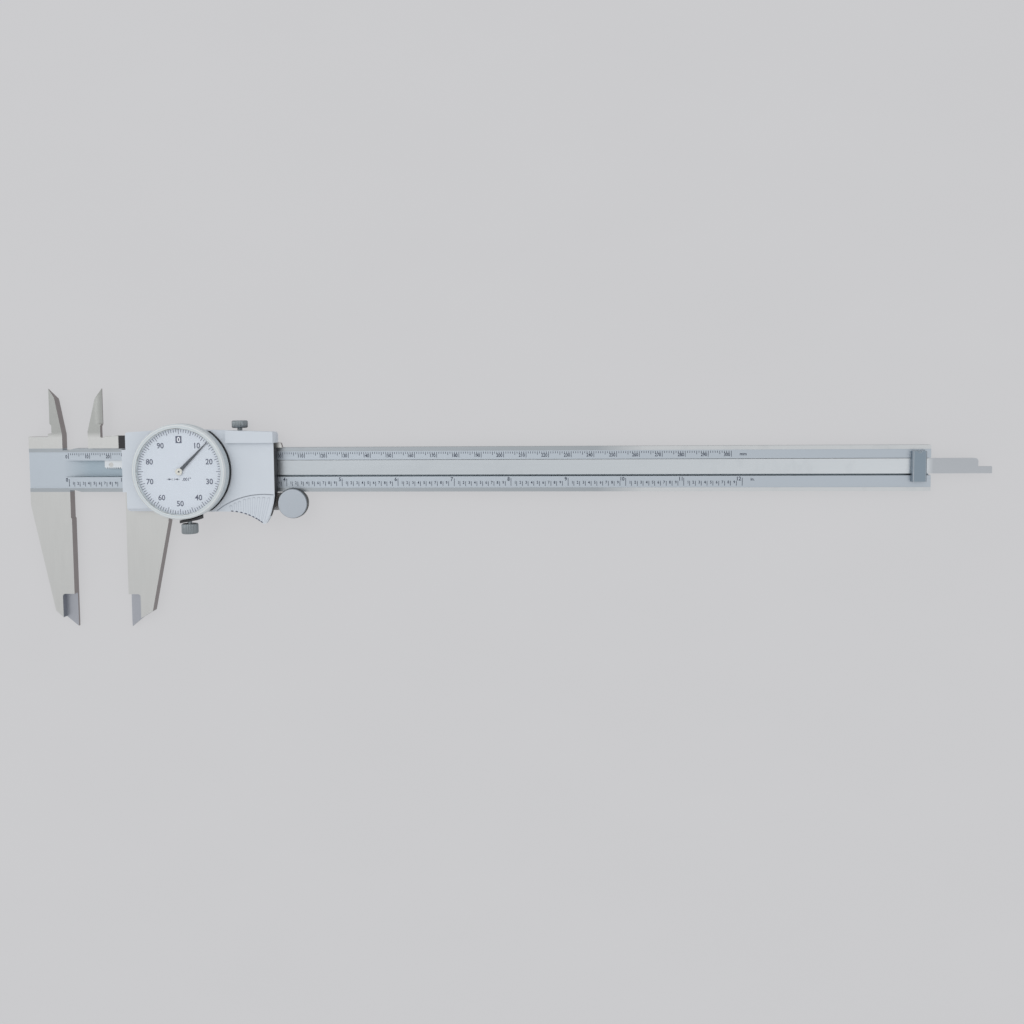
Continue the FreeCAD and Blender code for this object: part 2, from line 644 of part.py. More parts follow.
# Slider frame: front plate with the sliding inside jaw, two guide walls and the sliding outside jaw
slider_frame = body("slider_frame")
plate_outline = [
    ("slider_left", "-slider_half"),
    ("slider_right", "-slider_half"),
    ("slider_right", "arm_low"),
    ("slider_right + horn_long", "arm_low"),
    ("slider_right + horn_long - horn_drop", "horn_high - horn_drop"),
    ("slider_right", "horn_high"),
    ("slider_right", "slider_half"),
    ("slider_left", "slider_half"),
    ("slider_left", "arm_high"),
    ("dip_right + dip_slope", "arm_high"),
    ("dip_right", "arm_dip"),
    ("inside_edge + blade_notch", "arm_dip"),
    ("inside_edge + blade_notch", "arm_dip - blade_notch / 2"),
    ("inside_edge - blade_notch / 2", "arm_dip - blade_notch / 2"),
    ("inside_edge - blade_notch / 2", "notch_high - blade_notch"),
    ("inside_edge", "notch_high"),
    ("inside_edge", "inside_tip"),
    ("blade_neck", "inside_shoulder"),
    ("arm_left", "blade_bend"),
    ("arm_left", "arm_low"),
    ("slider_left", "arm_low"),
]
pad(slider_frame, outline(sketch(slider_frame, lift="plate_low"), plate_outline), "plate_thick")
front_bevel = [
    ("inside_edge + past", "plate_high + past"),
    ("inside_edge - inside_bevel", "plate_high + past"),
    ("inside_edge - inside_bevel", "plate_high"),
    ("inside_edge", "plate_low + inside_thin"),
    ("inside_edge + past", "plate_low + inside_thin"),
]
pocket(slider_frame, outline(sketch(slider_frame, "XZ_Plane", "-inside_tip"), front_bevel),
       "inside_tip - notch_high", reverse=True)
guide_low = "-beam_top - edge_gap"
lower_wall = box_corners("slider_left", "-slider_half", "slider_right", guide_low)
pad(slider_frame, outline(sketch(slider_frame, lift="-slide_gap"), lower_wall), "plate_low + slide_gap")
upper_wall = box_corners("slider_left", "wall_in", "slider_right", "slider_half")
pad(slider_frame, outline(sketch(slider_frame, lift="-slide_gap"), upper_wall), "plate_low + slide_gap")
jaw_outline = [
    ("0", guide_low),
    ("0", "-jaw_reach"),
    ("tip_in", "-jaw_shoulder - tip_low"),
    ("slide_nose", "-jaw_shoulder"),
    ("jaw_wide", "-jaw_slope_start"),
    ("jaw_wide", guide_low),
]
pad(slider_frame, outline(sketch(slider_frame), jaw_outline), "beam_thick")
tip_corners = box_corners("-past", "-jaw_reach - past", "knife_wide", "-knife_start")
pocket(slider_frame, outline(sketch(slider_frame, lift="beam_thick"), tip_corners),
       "beam_thick - knife_thick")
rivet_spots = [
    ("slider_right - rivet_first - rivet_pitch", "rod_mid"),
    ("slider_right - rivet_first", "rod_mid"),
]
pillar_spots = [
    ("%s * pillar_x" % side, "%s * pillar_y" % end) for side in (-1, 1) for end in (-1, 1)
]
frame_pillar_spots = [("dial_x + " + x, "dial_y + " + y) for x, y in pillar_spots]
back_spots = [
    (x, y) for x in ("slider_left + back_screw_in", "slider_right - back_screw_in")
    for y in ("-back_screw_y", "back_screw_y")
]
drill(slider_frame, "plate_low", "plate_thick", rivet_spots, "rivet_radius")
drill(slider_frame, "plate_low", "plate_thick", [("drive_x", "drive_y")], "arbor_hole")
drill(slider_frame, "plate_high - movement_bite", "movement_bite", frame_pillar_spots, "screw_shank")
drill(slider_frame, "-slide_gap", "screw_bite", back_spots, "screw_shank")
lock_bore = circle(sketch(slider_frame, "XZ_Plane", "-slider_half"), "lock_x", "lock_z",
                   "lock_shank + bore_play")
pocket(slider_frame, lock_bore, "slider_half - wall_in", reverse=True)
gib_screw_places = ("slider_left + gib_screw_in", "slider_right - gib_screw_in")
gib_bores = sketch(slider_frame, "XZ_Plane", "-slider_half")
for gib_screw_x in gib_screw_places:
    circle(gib_bores, gib_screw_x, "edge_mid", "screw_shank")
pocket(slider_frame, gib_bores, "slider_half - wall_in", reverse=True)
round_edges(slider_frame, "knife_round", upright_at(("knife_wide", "-knife_start")))
on_slider(slider_frame)

# Gib between the beam's upper edge and the slider, with its two headless screws
gib = body("gib")
gib_outer = "beam_top + edge_gap + gib_thick"
gib_corners = box_corners("slider_left + gib_inset", "beam_top + edge_gap", "slider_right - gib_inset",
                          gib_outer)
pad(gib, outline(sketch(gib, lift="gib_side"), gib_corners), "beam_thick - 2 * gib_side")
on_slider(gib)

gib_screws = body("gib_screws")
gib_shanks = sketch(gib_screws, "XZ_Plane", "-(%s)" % gib_outer)
for gib_screw_x in gib_screw_places:
    circle(gib_shanks, gib_screw_x, "edge_mid", "screw_shank")
pad(gib_screws, gib_shanks, "slider_half - gib_screw_sunk - (%s)" % gib_outer, reverse=True)
on_slider(gib_screws)

# Lock screw about its own axis, and the shoe that it presses on the gib
lock_screw = body("lock_screw")
lock_tip = gib_outer + " + lock_pad_tall + lock_free"
lock_head_low = "slider_half + lock_head_up"
shank = circle(sketch(lock_screw, "XZ_Plane", "-(%s)" % lock_tip), "0", "0", "lock_shank")
pad(lock_screw, shank, "%s - (%s) + lock_head_tall / 2" % (lock_head_low, lock_tip), reverse=True)
lock_head = circle(sketch(lock_screw, "XZ_Plane", "-(%s)" % lock_head_low), "0", "0", "lock_head")
pad(lock_screw, lock_head, "lock_head_tall", reverse=True)
knurl(lock_screw, "XZ_Plane", "-(%s + lock_head_tall)" % lock_head_low, "-lock_head_tall", "lock_head",
      "knurl_deep", "lock_knurls")
on_slider(lock_screw, x="slider_x + lock_x", z="row_z + lock_z")

lock_shoe = body("lock_shoe")
shoe = circle(sketch(lock_shoe, "XZ_Plane", "-(%s)" % gib_outer), "lock_x", "lock_z", "lock_shank")
pad(lock_shoe, shoe, "lock_pad_tall", reverse=True)
on_slider(lock_shoe)

# Back plate with the lobe that carries the thumb roller
back_plate = body("back_plate")
back_low = "-slide_gap - back_thick"
back_sketch = sketch(back_plate, lift=back_low)
outline(back_sketch, box_corners("slider_left + back_inset", "-slider_half + back_inset",
                                 "slider_right - back_inset", "slider_half - back_inset"))
pad(back_plate, back_sketch, "back_thick")
neck = box_corners("slider_right - lobe_radius", "roller_y - neck_half", "roller_x", "roller_y + neck_half")
pad(back_plate, outline(sketch(back_plate, lift=back_low), neck), "back_thick")
several(back_plate, back_low, "back_thick", [("roller_x", "roller_y")], "lobe_radius")
drill(back_plate, back_low, "back_thick", back_spots, "screw_shank")
drill(back_plate, back_low, "screw_head_deep", back_spots, "screw_head")
drill(back_plate, back_low, "back_thick", [("roller_x", "roller_y")], "axle_radius")
round_edges(back_plate, "back_round", upright_at(
    ("slider_left + back_inset", "-slider_half + back_inset"),
    ("slider_left + back_inset", "slider_half - back_inset"),
    ("slider_right - back_inset", "slider_half - back_inset")))
on_slider(back_plate)

back_plate_screws = body("back_plate_screws")
several(back_plate_screws, back_low, "back_thick + screw_bite", back_spots, "screw_shank")
several(back_plate_screws, back_low, "screw_head_deep", back_spots, "screw_head")
on_slider(back_plate_screws)

# Thumb roller about its own axis, on a stud in the lobe
roller_axle = body("roller_axle")
several(roller_axle, back_low, "axle_top - (%s)" % back_low, [("0", "0")], "axle_radius")
on_slider(roller_axle, x="slider_x + roller_x", y="row_y + roller_y")

thumb_roller = body("thumb_roller")
turned(thumb_roller, [
    ("axle_radius + bore_play", "0"),
    ("roller_drum", "0"),
    ("roller_drum", "roller_low"),
    ("roller_head", "roller_low"),
    ("roller_head", "roller_top - roller_bevel"),
    ("roller_head - roller_bevel", "roller_top"),
    ("0", "roller_top"),
    ("0", "axle_top + axle_end_gap"),
    ("axle_radius + bore_play", "axle_top + axle_end_gap"),
])
knurl(thumb_roller, "XY_Plane", "roller_top", "roller_top - roller_low", "roller_head",
      "roller_knurl_deep", "roller_knurls")
on_slider(thumb_roller, x="slider_x + roller_x", y="row_y + roller_y")

# Depth rod in the groove, riveted under the slider's front plate
depth_rod = body("depth_rod")
rod_outline = [
    ("rod_start", "-rod_low"),
    ("beam_end", "-rod_low"),
    ("beam_end", "tongue_high"),
    ("beam_end - tongue_long", "tongue_high"),
    ("beam_end - tongue_long", "rod_high"),
    ("rod_start", "rod_high"),
]
pad(depth_rod, outline(sketch(depth_rod, lift="rod_top - rod_thick"), rod_outline), "rod_thick")
drill(depth_rod, "rod_top - rod_thick", "rod_thick", rivet_spots, "rivet_radius")
round_edges(depth_rod, "tongue_round", upright_at(("beam_end - tongue_long", "rod_high")))
on_slider(depth_rod)

rod_rivets = body("rod_rivets")
several(rod_rivets, "rod_top - rod_thick", "plate_high - rod_top + rod_thick", rivet_spots, "rivet_radius")
several(rod_rivets, "rod_top", "plate_low - rod_top", rivet_spots, "rivet_collar")
on_slider(rod_rivets)

# Cover with its index lip, raised ledge and thumb rest
slider_cover = body("slider_cover")
cover_outline = [
    ("cover_left", "-cover_low"),
    ("hollow_x", "-cover_low"),
    ("rest_tip_x - rest_tip_wide", "-rest_tip_y"),
    ("rest_tip_x", "-rest_tip_y"),
    ("rest_turn_x", "-rest_turn_y"),
    ("rest_side_x", "-rest_side_y"),
    ("cover_right", "-rest_high"),
    ("cover_right", "cover_high"),
    ("crown_right", "cover_crown"),
    ("crown_left", "cover_crown"),
    ("cover_left", "cover_high"),
]
pad(slider_cover, outline(sketch(slider_cover, lift="plate_high"), cover_outline), "cover_top - plate_high")
lip_outline = [
    ("lip_left", "lip_low"),
    ("cover_left", "lip_low"),
    ("cover_left", "cover_top"),
    ("lip_left + lip_slope", "cover_top"),
    ("lip_left", "lip_low + lip_edge"),
]
pad(slider_cover, outline(sketch(slider_cover, "XZ_Plane", "-lip_half"), lip_outline), "2 * lip_half")
ledge = [
    ("ledge_left", "ledge_low"),
    ("cover_right + ledge_past", "ledge_low"),
    ("cover_right + ledge_past", "cover_high"),
    ("cover_right", "cover_high"),
    ("ledge_left", "ledge_high"),
]
pad(slider_cover, outline(sketch(slider_cover, lift="plate_high"), ledge),
    "cover_top + ledge_tall - plate_high")
round_edges(slider_cover, "ledge_round", upright_at(("cover_right + ledge_past", "cover_high")))
ledge_end = [
    ("cover_right + ledge_past + past", "cover_top + ledge_tall + past"),
    ("cover_right + ledge_past - ledge_slope", "cover_top + ledge_tall + past"),
    ("cover_right + ledge_past - ledge_slope", "cover_top + ledge_tall"),
    ("cover_right + ledge_past", "cover_top"),
    ("cover_right + ledge_past + past", "cover_top"),
]
pocket(slider_cover, outline(sketch(slider_cover, "XZ_Plane", "-cover_high - past"), ledge_end),
       "cover_high + past - ledge_low", reverse=True)
cover_corners = upright_at(("cover_left", "-cover_low"), ("cover_left", "cover_high"))
round_edges(slider_cover, "cover_round", cover_corners)
round_edges(slider_cover, "rest_tip_round", upright_at(("rest_tip_x", "-rest_tip_y")))
round_edges(slider_cover, "rest_turn_round", upright_at(("rest_turn_x", "-rest_turn_y")))
lower_bevel = [
    ("-cover_low - past", "cover_top - cover_bevel"),
    ("-cover_low", "cover_top - cover_bevel"),
    ("-cover_low + cover_bevel", "cover_top"),
    ("-cover_low + cover_bevel", "cover_top + past"),
    ("-cover_low - past", "cover_top + past"),
]
pocket(slider_cover, outline(sketch(slider_cover, "YZ_Plane", "dial_x"), lower_bevel), "dial_x - cover_left")
finger_edge = circle(sketch(slider_cover, lift="cover_top"), "hollow_x", "-cover_low - hollow_radius",
                     "hollow_radius")
pocket(slider_cover, finger_edge, "cover_top - plate_high")
rest_face = circle(sketch(slider_cover, lift="cover_top"), "rest_axis_x", "-rest_high - rest_radius",
                   "rest_radius")
pocket(slider_cover, rest_face, "rest_deep")
rib_cuts = sketch(slider_cover, lift="cover_top - rest_deep")
for rib in range(int(worth("rib_count"))):
    rib_x = "rib_first + %d * rib_pitch" % rib
    rib_rise = "sqrt(rest_radius * rest_radius - pow(rest_axis_x - (%s); 2))" % rib_x
    rib_top = "%s - rest_radius - rest_high" % rib_rise
    turn_lean = "pow(rest_turn_y - rest_high; 2) / 2 / rib_lean"
    tip_lean = "pow(rest_tip_y + past - rest_high; 2) / 2 / rib_lean"
    bends = [("0", rib_top + " - rib_drop"), (turn_lean, "-rest_turn_y"), (tip_lean, "-rest_tip_y - past")]
    left_side = [("%s - rib_half - %s" % (rib_x, shift), y) for shift, y in bends]
    right_side = [("%s + rib_half - %s" % (rib_x, shift), y) for shift, y in bends[::-1]]
    outline(rib_cuts, left_side + right_side)
pocket(slider_cover, rib_cuts, "rib_deep")
drill(slider_cover, "plate_high", "cover_top - plate_high", [("dial_x", "dial_y")], "opening_radius")
on_slider(slider_cover)

# Wipers at the slider's two ends
left_wiper = body("left_wiper")
left_corners = box_corners("seal_left", "arm_low", "cover_left - seal_gap", "arm_high")
pad(left_wiper, outline(sketch(left_wiper, lift="plate_high"), left_corners), "seal_tall")
on_slider(left_wiper)

right_wiper = body("right_wiper")
right_corners = box_corners("slider_right", "-wiper_half", "slider_right + wiper_thick", "wiper_half")
pad(right_wiper, outline(sketch(right_wiper, lift="beam_thick + wiper_gap"), right_corners),
    "plate_high - beam_thick - wiper_gap")
on_slider(right_wiper)


# Teeth
def gear_face(module, teeth, addendum, below_base):
    """A gear's face with involute flanks and a tooth on the X axis."""
    pitch_radius = module * teeth / 2
    base_radius = pitch_radius * math.cos(math.radians(worth("pressure_angle")))
    tip_radius = pitch_radius + addendum * module
    root_radius = pitch_radius - worth("tooth_root") * module
    half_pitch = math.pi / teeth / 2 - worth("backlash") / pitch_radius / 4

    def involute(radius):
        angle = math.acos(min(1, base_radius / radius))
        return math.tan(angle) - angle

    def half_angle(radius):
        return half_pitch + involute(pitch_radius) - involute(max(radius, base_radius))

    radii = [root_radius]
    if below_base:
        radii += [base_radius, pitch_radius]
    radii += [tip_radius]
    points = []
    for tooth in range(int(teeth)):
        middle = 2 * math.pi * tooth / teeth
        rising = [(radius, middle - half_angle(radius)) for radius in radii]
        falling = [(radius, middle + half_angle(radius)) for radius in reversed(radii)]
        for radius, turn in rising + falling:
            points.append(Vector(radius * math.cos(turn), radius * math.sin(turn), 0))
    return Part.Face(Part.makePolygon(points + points[:1]))


def raised(face, low, tall):
    return face.translated(Vector(0, 0, low)).extrude(Vector(0, 0, tall))


def upright(radius, low, tall, x=0, y=0):
    return Part.makeCylinder(radius, tall, Vector(x, y, low))


def rack_shape():
    """The rack, with a tooth over the pinion's axis when the jaws are closed."""
    pitch = worth("rack_pitch")
    module = worth("rack_module")
    pitch_line = worth("drive_y + pinion_radius")
    back = worth("groove_high - rack_side")
    left = worth("rack_left")
    right = worth("drive_x + full_travel + rack_past")
    slope = math.tan(math.radians(worth("pressure_angle")))
    tip = worth("rack_addendum") * module
    root = worth("tooth_root") * module
    half = pitch / 4 - worth("backlash") / 4
    first = math.ceil((left + pitch / 2 - worth("drive_x")) / pitch)
    last = math.floor((right - pitch / 2 - worth("drive_x")) / pitch)
    points = [Vector(left, back, 0), Vector(left, pitch_line + root, 0)]
    for tooth in range(first, last + 1):
        middle = worth("drive_x") + tooth * pitch
        for side, y in ((-half - root * slope, root), (-half + tip * slope, -tip),
                        (half - tip * slope, -tip), (half + root * slope, root)):
            points.append(Vector(middle + side, pitch_line + y, 0))
    points += [Vector(right, pitch_line + root, 0), Vector(right, back, 0)]
    low = worth("groove_floor")
    tall = worth("rack_thick")
    shape = raised(Part.Face(Part.makePolygon(points + points[:1])), low, tall)
    for x in (left + worth("rack_screw_in"), right - worth("rack_screw_in")):
        y = worth("rack_screw_mid")
        head = worth("screw_head_deep")
        shape = shape.cut(upright(worth("screw_shank"), low, tall, x, y))
        shape = shape.cut(upright(worth("rack_screw_head"), low + tall - head, head, x, y))
    return shape


rack = shaped("rack", rack_shape())
put(rack)

rack_spots = [
    ("rack_left + rack_screw_in", "rack_screw_mid"),
    ("drive_x + full_travel + rack_past - rack_screw_in", "rack_screw_mid"),
]
rack_screws = body("rack_screws")
several(rack_screws, "0", "groove_floor + rack_thick", rack_spots, "screw_shank")
several(rack_screws, "groove_floor + rack_thick - screw_head_deep", "screw_head_deep", rack_spots,
        "rack_screw_head")
slots(rack_screws, "groove_floor + rack_thick", rack_spots, "rack_screw_head")
put(rack_screws)

# Rack pinion and its arbor, which carries the drive gear
arbor_top = "bridge_low + disc_thick"
pinion_low = "groove_floor + pinion_under"
pinion_tall = "rack_thick - 2 * pinion_under"
pinion_face = gear_face(worth("rack_module"), worth("pinion_teeth"), worth("full_addendum"), True)
pinion_shape = raised(pinion_face, worth(pinion_low), worth(pinion_tall)).fuse(
    upright(worth("arbor_radius"), worth(pinion_low), worth("%s - (%s)" % (arbor_top, pinion_low))))
rack_pinion = shaped("rack_pinion", pinion_shape)
on_slider(rack_pinion, "slider_x + drive_x", "row_y + drive_y", turn="pinion_turn")


def train_gear():
    face = gear_face(worth("gear_module"), worth("gear_teeth"), worth("gear_addendum"), False)
    gear = raised(face, worth("gear_low"), worth("gear_thick"))
    return gear.cut(upright(worth("arbor_radius"), worth("gear_low"), worth("gear_thick")))


drive_gear = shaped("drive_gear", train_gear())
on_slider(drive_gear, "slider_x + drive_x", "row_y + drive_y", turn="pinion_turn + train_tilt")

# Take-up gear, its arbor with the collet, and the hairspring that keeps the teeth to one side
takeup_gear = shaped("takeup_gear", train_gear())
on_slider(takeup_gear, "slider_x + takeup_x", "row_y + takeup_y", turn="pinion_turn + train_tilt")

takeup_arbor = body("takeup_arbor")
several(takeup_arbor, "plate_high", "%s - plate_high" % arbor_top, [("0", "0")], "arbor_radius")
several(takeup_arbor, "gear_low + gear_thick", "bridge_low - gear_low - gear_thick - pinion_under",
        [("0", "0")], "collet_radius")
on_slider(takeup_arbor, "slider_x + takeup_x", "row_y + takeup_y", turn="pinion_turn")


def spiral_shape():
    """A flat spiral strip from the collet out to the stud."""
    inner = worth("spring_inner")
    outer = worth("spring_outer")
    turns = worth("spring_turns")
    strip = worth("spring_strip")
    steps = int(turns * worth("spring_steps"))
    inside = []
    outside = []
    for step in range(steps + 1):
        share = step / steps
        turn = 2 * math.pi * turns * share + math.pi / 2
        radius = inner + (outer - inner) * share
        inside.append(Vector(radius * math.cos(turn), radius * math.sin(turn), 0))
        outside.append(Vector((radius + strip) * math.cos(turn), (radius + strip) * math.sin(turn), 0))
    ring = inside + outside[::-1]
    return raised(Part.Face(Part.makePolygon(ring + ring[:1])), worth("spring_low"), worth("spring_tall"))


hairspring = shaped("hairspring", spiral_shape())
on_slider(hairspring, "slider_x + takeup_x", "row_y + takeup_y")

spring_stud = body("spring_stud")
several(spring_stud, "spring_low", "bridge_low - spring_low",
        [("takeup_x", "takeup_y + spring_outer + spring_strip + stud_radius")], "stud_radius")
on_slider(spring_stud)

# Centre pinion and its arbor, which carries the hand
centre_face = gear_face(worth("gear_module"), worth("centre_teeth"), worth("full_addendum"), True)
centre_shape = raised(centre_face, worth("gear_low"), worth("gear_thick + pinion_under")).fuse(
    upright(worth("arbor_radius"), worth("plate_high"), worth("hand_low + hand_thick - plate_high")))
centre_pinion = shaped("centre_pinion", centre_shape)
on_slider(centre_pinion, "slider_x + dial_x", "row_y + dial_y",
          turn="hand_turn + train_tilt + 180 / centre_teeth")

# Movement plates about the dial's axis, with pillars, screws and bushes
train_spots = [("-train_x", "-train_y"), ("0", "0"), ("train_x", "train_y")]
for label, low in (("movement_plate", "plate_high"), ("movement_bridge", "bridge_low")):
    disc = body(label)
    several(disc, low, "disc_thick", [("0", "0")], "disc_radius")
    drill(disc, low, "disc_thick", train_spots, "bush_radius")
    drill(disc, low, "disc_thick", pillar_spots, "screw_shank")
    on_slider(disc, "slider_x + dial_x", "row_y + dial_y")

movement_pillars = body("movement_pillars")
several(movement_pillars, "plate_high + disc_thick", "bridge_low - plate_high - disc_thick", pillar_spots,
        "pillar_radius")
drill(movement_pillars, "plate_high + disc_thick", "bridge_low - plate_high - disc_thick", pillar_spots,
      "screw_shank")
on_slider(movement_pillars, "slider_x + dial_x", "row_y + dial_y")

movement_screws = body("movement_screws")
several(movement_screws, "plate_high - movement_bite", "%s + movement_bite - plate_high" % arbor_top,
        pillar_spots, "screw_shank")
several(movement_screws, arbor_top, "screw_head_deep", pillar_spots, "screw_head")
slots(movement_screws, "%s + screw_head_deep" % arbor_top, pillar_spots, "screw_head")
on_slider(movement_screws, "slider_x + dial_x", "row_y + dial_y")

arbor_bushes = body("arbor_bushes")
for low in ("plate_high", "bridge_low"):
    several(arbor_bushes, low, "disc_thick", train_spots, "bush_radius")
for low in ("plate_high", "bridge_low"):
    drill(arbor_bushes, low, "disc_thick", train_spots, "arbor_radius + pivot_play")
on_slider(arbor_bushes, "slider_x + dial_x", "row_y + dial_y")

# Dial housing on the cover, and what turns on it: bezel, dial, ring and crystal
dial_housing = body("dial_housing")
turned(dial_housing, [
    ("housing_hole", "housing_low"),
    ("flange_radius", "housing_low"),
    ("flange_radius", "housing_low + flange_thick"),
    ("housing_radius", "housing_low + flange_thick"),
    ("housing_radius", "housing_top"),
    ("housing_radius - housing_wall", "housing_top"),
    ("housing_radius - housing_wall", "housing_low + housing_floor"),
    ("housing_hole", "housing_low + housing_floor"),
])
flats = sketch(dial_housing, lift="housing_low + flange_thick")
outline(flats, box_corners("-flange_radius", "flange_flat", "flange_radius", "flange_radius"))
outline(flats, box_corners("-flange_radius", "-flange_radius", "flange_radius", "-flange_flat"))
pocket(dial_housing, flats, "flange_thick")
on_slider(dial_housing, "slider_x + dial_x", "row_y + dial_y")

bezel = body("bezel")
turned(bezel, [
    ("housing_radius + bezel_play", "bezel_low"),
    ("bezel_radius", "bezel_low"),
    ("bezel_radius", "bezel_top - bezel_chamfer"),
    ("bezel_radius - bezel_chamfer", "bezel_top"),
    ("bezel_in", "bezel_top"),
    ("bezel_in", "seat_high"),
    ("housing_radius + bezel_play", "seat_high"),
])
on_slider(bezel, "slider_x + dial_x", "row_y + dial_y")

dial_face = body("dial_face")
several(dial_face, "seat_high", "dial_thick", [("0", "0")], "bezel_in - dial_fit")
drill(dial_face, "seat_high", "dial_thick", [("0", "0")], "dial_hole")
on_slider(dial_face, "slider_x + dial_x", "row_y + dial_y")

dial_ring = body("dial_ring")
ring_low = "seat_high + dial_thick"
several(dial_ring, ring_low, "crystal_low - (%s)" % ring_low, [("0", "0")], "bezel_in - dial_fit")
drill(dial_ring, ring_low, "crystal_low - (%s)" % ring_low, [("0", "0")], "bezel_in - dial_fit - ring_wall")
on_slider(dial_ring, "slider_x + dial_x", "row_y + dial_y")

crystal = body("crystal")
several(crystal, "crystal_low", "crystal_thick", [("0", "0")], "bezel_in - dial_fit")
on_slider(crystal, "slider_x + dial_x", "row_y + dial_y")

# Hand on its hub, drawn pointing at zero
hand = body("hand")
hand_outline = [
    ("-hand_wide / 2", "0"),
    ("hand_wide / 2", "0"),
    ("hand_point / 2", "hand_long"),
    ("-hand_point / 2", "hand_long"),
]
pad(hand, outline(sketch(hand, lift="hand_low"), hand_outline), "hand_thick")
several(hand, "hand_low", "hand_thick", [("0", "0")], "hub_radius")
drill(hand, "hand_low", "hand_thick", [("0", "0")], "arbor_radius")
on_slider(hand, "slider_x + dial_x", "row_y + dial_y", turn="hand_turn")

hand_hub = body("hand_hub")
several(hand_hub, "hand_low - hub_tall", "hub_tall", [("0", "0")], "hub_radius")
drill(hand_hub, "hand_low - hub_tall", "hub_tall", [("0", "0")], "arbor_radius")
on_slider(hand_hub, "slider_x + dial_x", "row_y + dial_y", turn="hand_turn")

hand_cap = body("hand_cap")
several(hand_cap, "hand_low + hand_thick", "cap_tall", [("0", "0")], "cap_radius")
on_slider(hand_cap, "slider_x + dial_x", "row_y + dial_y", turn="hand_turn")

# Bezel clamp: a bracket curved round the bezel's lower rim, and its screw about its own axis
clamp_bracket = body("clamp_bracket")
bracket_low = "dial_y - bezel_radius - clamp_gap - clamp_thick"
bracket_outline = [
    ("clamp_left", "-cover_low"),
    ("clamp_left", bracket_low),
    ("clamp_left + clamp_wide", bracket_low + " + clamp_rise"),
    ("clamp_left + clamp_wide", "-cover_low"),
]
pad(clamp_bracket, outline(sketch(clamp_bracket, lift="cover_top - clamp_thick"), bracket_outline),
    "clamp_top - cover_top + clamp_thick")
bezel_side = circle(sketch(clamp_bracket, lift="clamp_top"), "dial_x", "dial_y", "bezel_radius + clamp_gap")
pocket(clamp_bracket, bezel_side, "clamp_top - cover_top")
clamp_bore = circle(sketch(clamp_bracket, "XZ_Plane", "cover_low"), "clamp_x", "clamp_z",
                    "clamp_shank + bore_play")
pocket(clamp_bracket, clamp_bore, "-cover_low - (%s)" % bracket_low, reverse=True)
on_slider(clamp_bracket)

clamp_screw = body("clamp_screw")
clamp_tip = "dial_y - bezel_radius - clamp_free"
clamp_head_at = bracket_low + " - axle_end_gap"
clamp_rod = circle(sketch(clamp_screw, "XZ_Plane", "-(%s)" % clamp_tip), "0", "0", "clamp_shank")
pad(clamp_screw, clamp_rod, "%s - (%s) + clamp_head_long / 2" % (clamp_tip, clamp_head_at))
clamp_knob = circle(sketch(clamp_screw, "XZ_Plane", "-(%s)" % clamp_head_at), "0", "0", "clamp_head")
pad(clamp_screw, clamp_knob, "clamp_head_long")
knurl(clamp_screw, "XZ_Plane", "-(%s) + clamp_head_long" % clamp_head_at, "clamp_head_long", "clamp_head",
      "knurl_deep", "clamp_knurls")
on_slider(clamp_screw, x="slider_x + clamp_x", z="row_z + clamp_z")

# Every object is sound before anything is written
document.recompute()
for item in document.Objects:
    if "Invalid" in item.State or "Error" in item.State:
        raise RuntimeError("failed: %s in %s" % (item.Label, item.State))
    if item.TypeId in ("PartDesign::Pocket", "PartDesign::Fillet", "PartDesign::PolarPattern"):
        before = item.BaseFeature.Shape.Volume
        if abs(before - item.Shape.Volume) < 1e-6:
            raise RuntimeError("cuts nothing: " + item.Label)
for item in pieces:
    if item.Shape.isNull() or not item.Shape.isValid():
        raise RuntimeError("unsound: " + item.Label)

os.makedirs("parts", exist_ok=True)
for item in pieces:
    item.Shape.exportStep("parts/%s.step" % item.Label)
print("pieces", len(pieces))
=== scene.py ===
import json
import math

import bmesh
import bpy
from bpy.props import FloatProperty, FloatVectorProperty, PointerProperty
from bpy.types import Operator, Panel, PropertyGroup
from mathutils import Euler, Matrix, Vector


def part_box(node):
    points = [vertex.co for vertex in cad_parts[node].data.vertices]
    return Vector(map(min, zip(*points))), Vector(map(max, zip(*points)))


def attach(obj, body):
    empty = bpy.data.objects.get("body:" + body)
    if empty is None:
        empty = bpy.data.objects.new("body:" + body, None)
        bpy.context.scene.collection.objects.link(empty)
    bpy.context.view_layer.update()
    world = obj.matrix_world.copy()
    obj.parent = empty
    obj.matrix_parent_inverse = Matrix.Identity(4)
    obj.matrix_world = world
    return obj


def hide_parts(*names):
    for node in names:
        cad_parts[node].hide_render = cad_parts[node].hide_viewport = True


bl_info = {
    "name": "Dial Caliper Finish",
    "version": (1, 0, 0),
    "blender": (4, 5, 0),
    "location": "3D View > Sidebar > Caliper",
    "description": "Finishes a 12 inch dial caliper: ground steel, scales, painted cover and dial",
    "category": "Object",
}

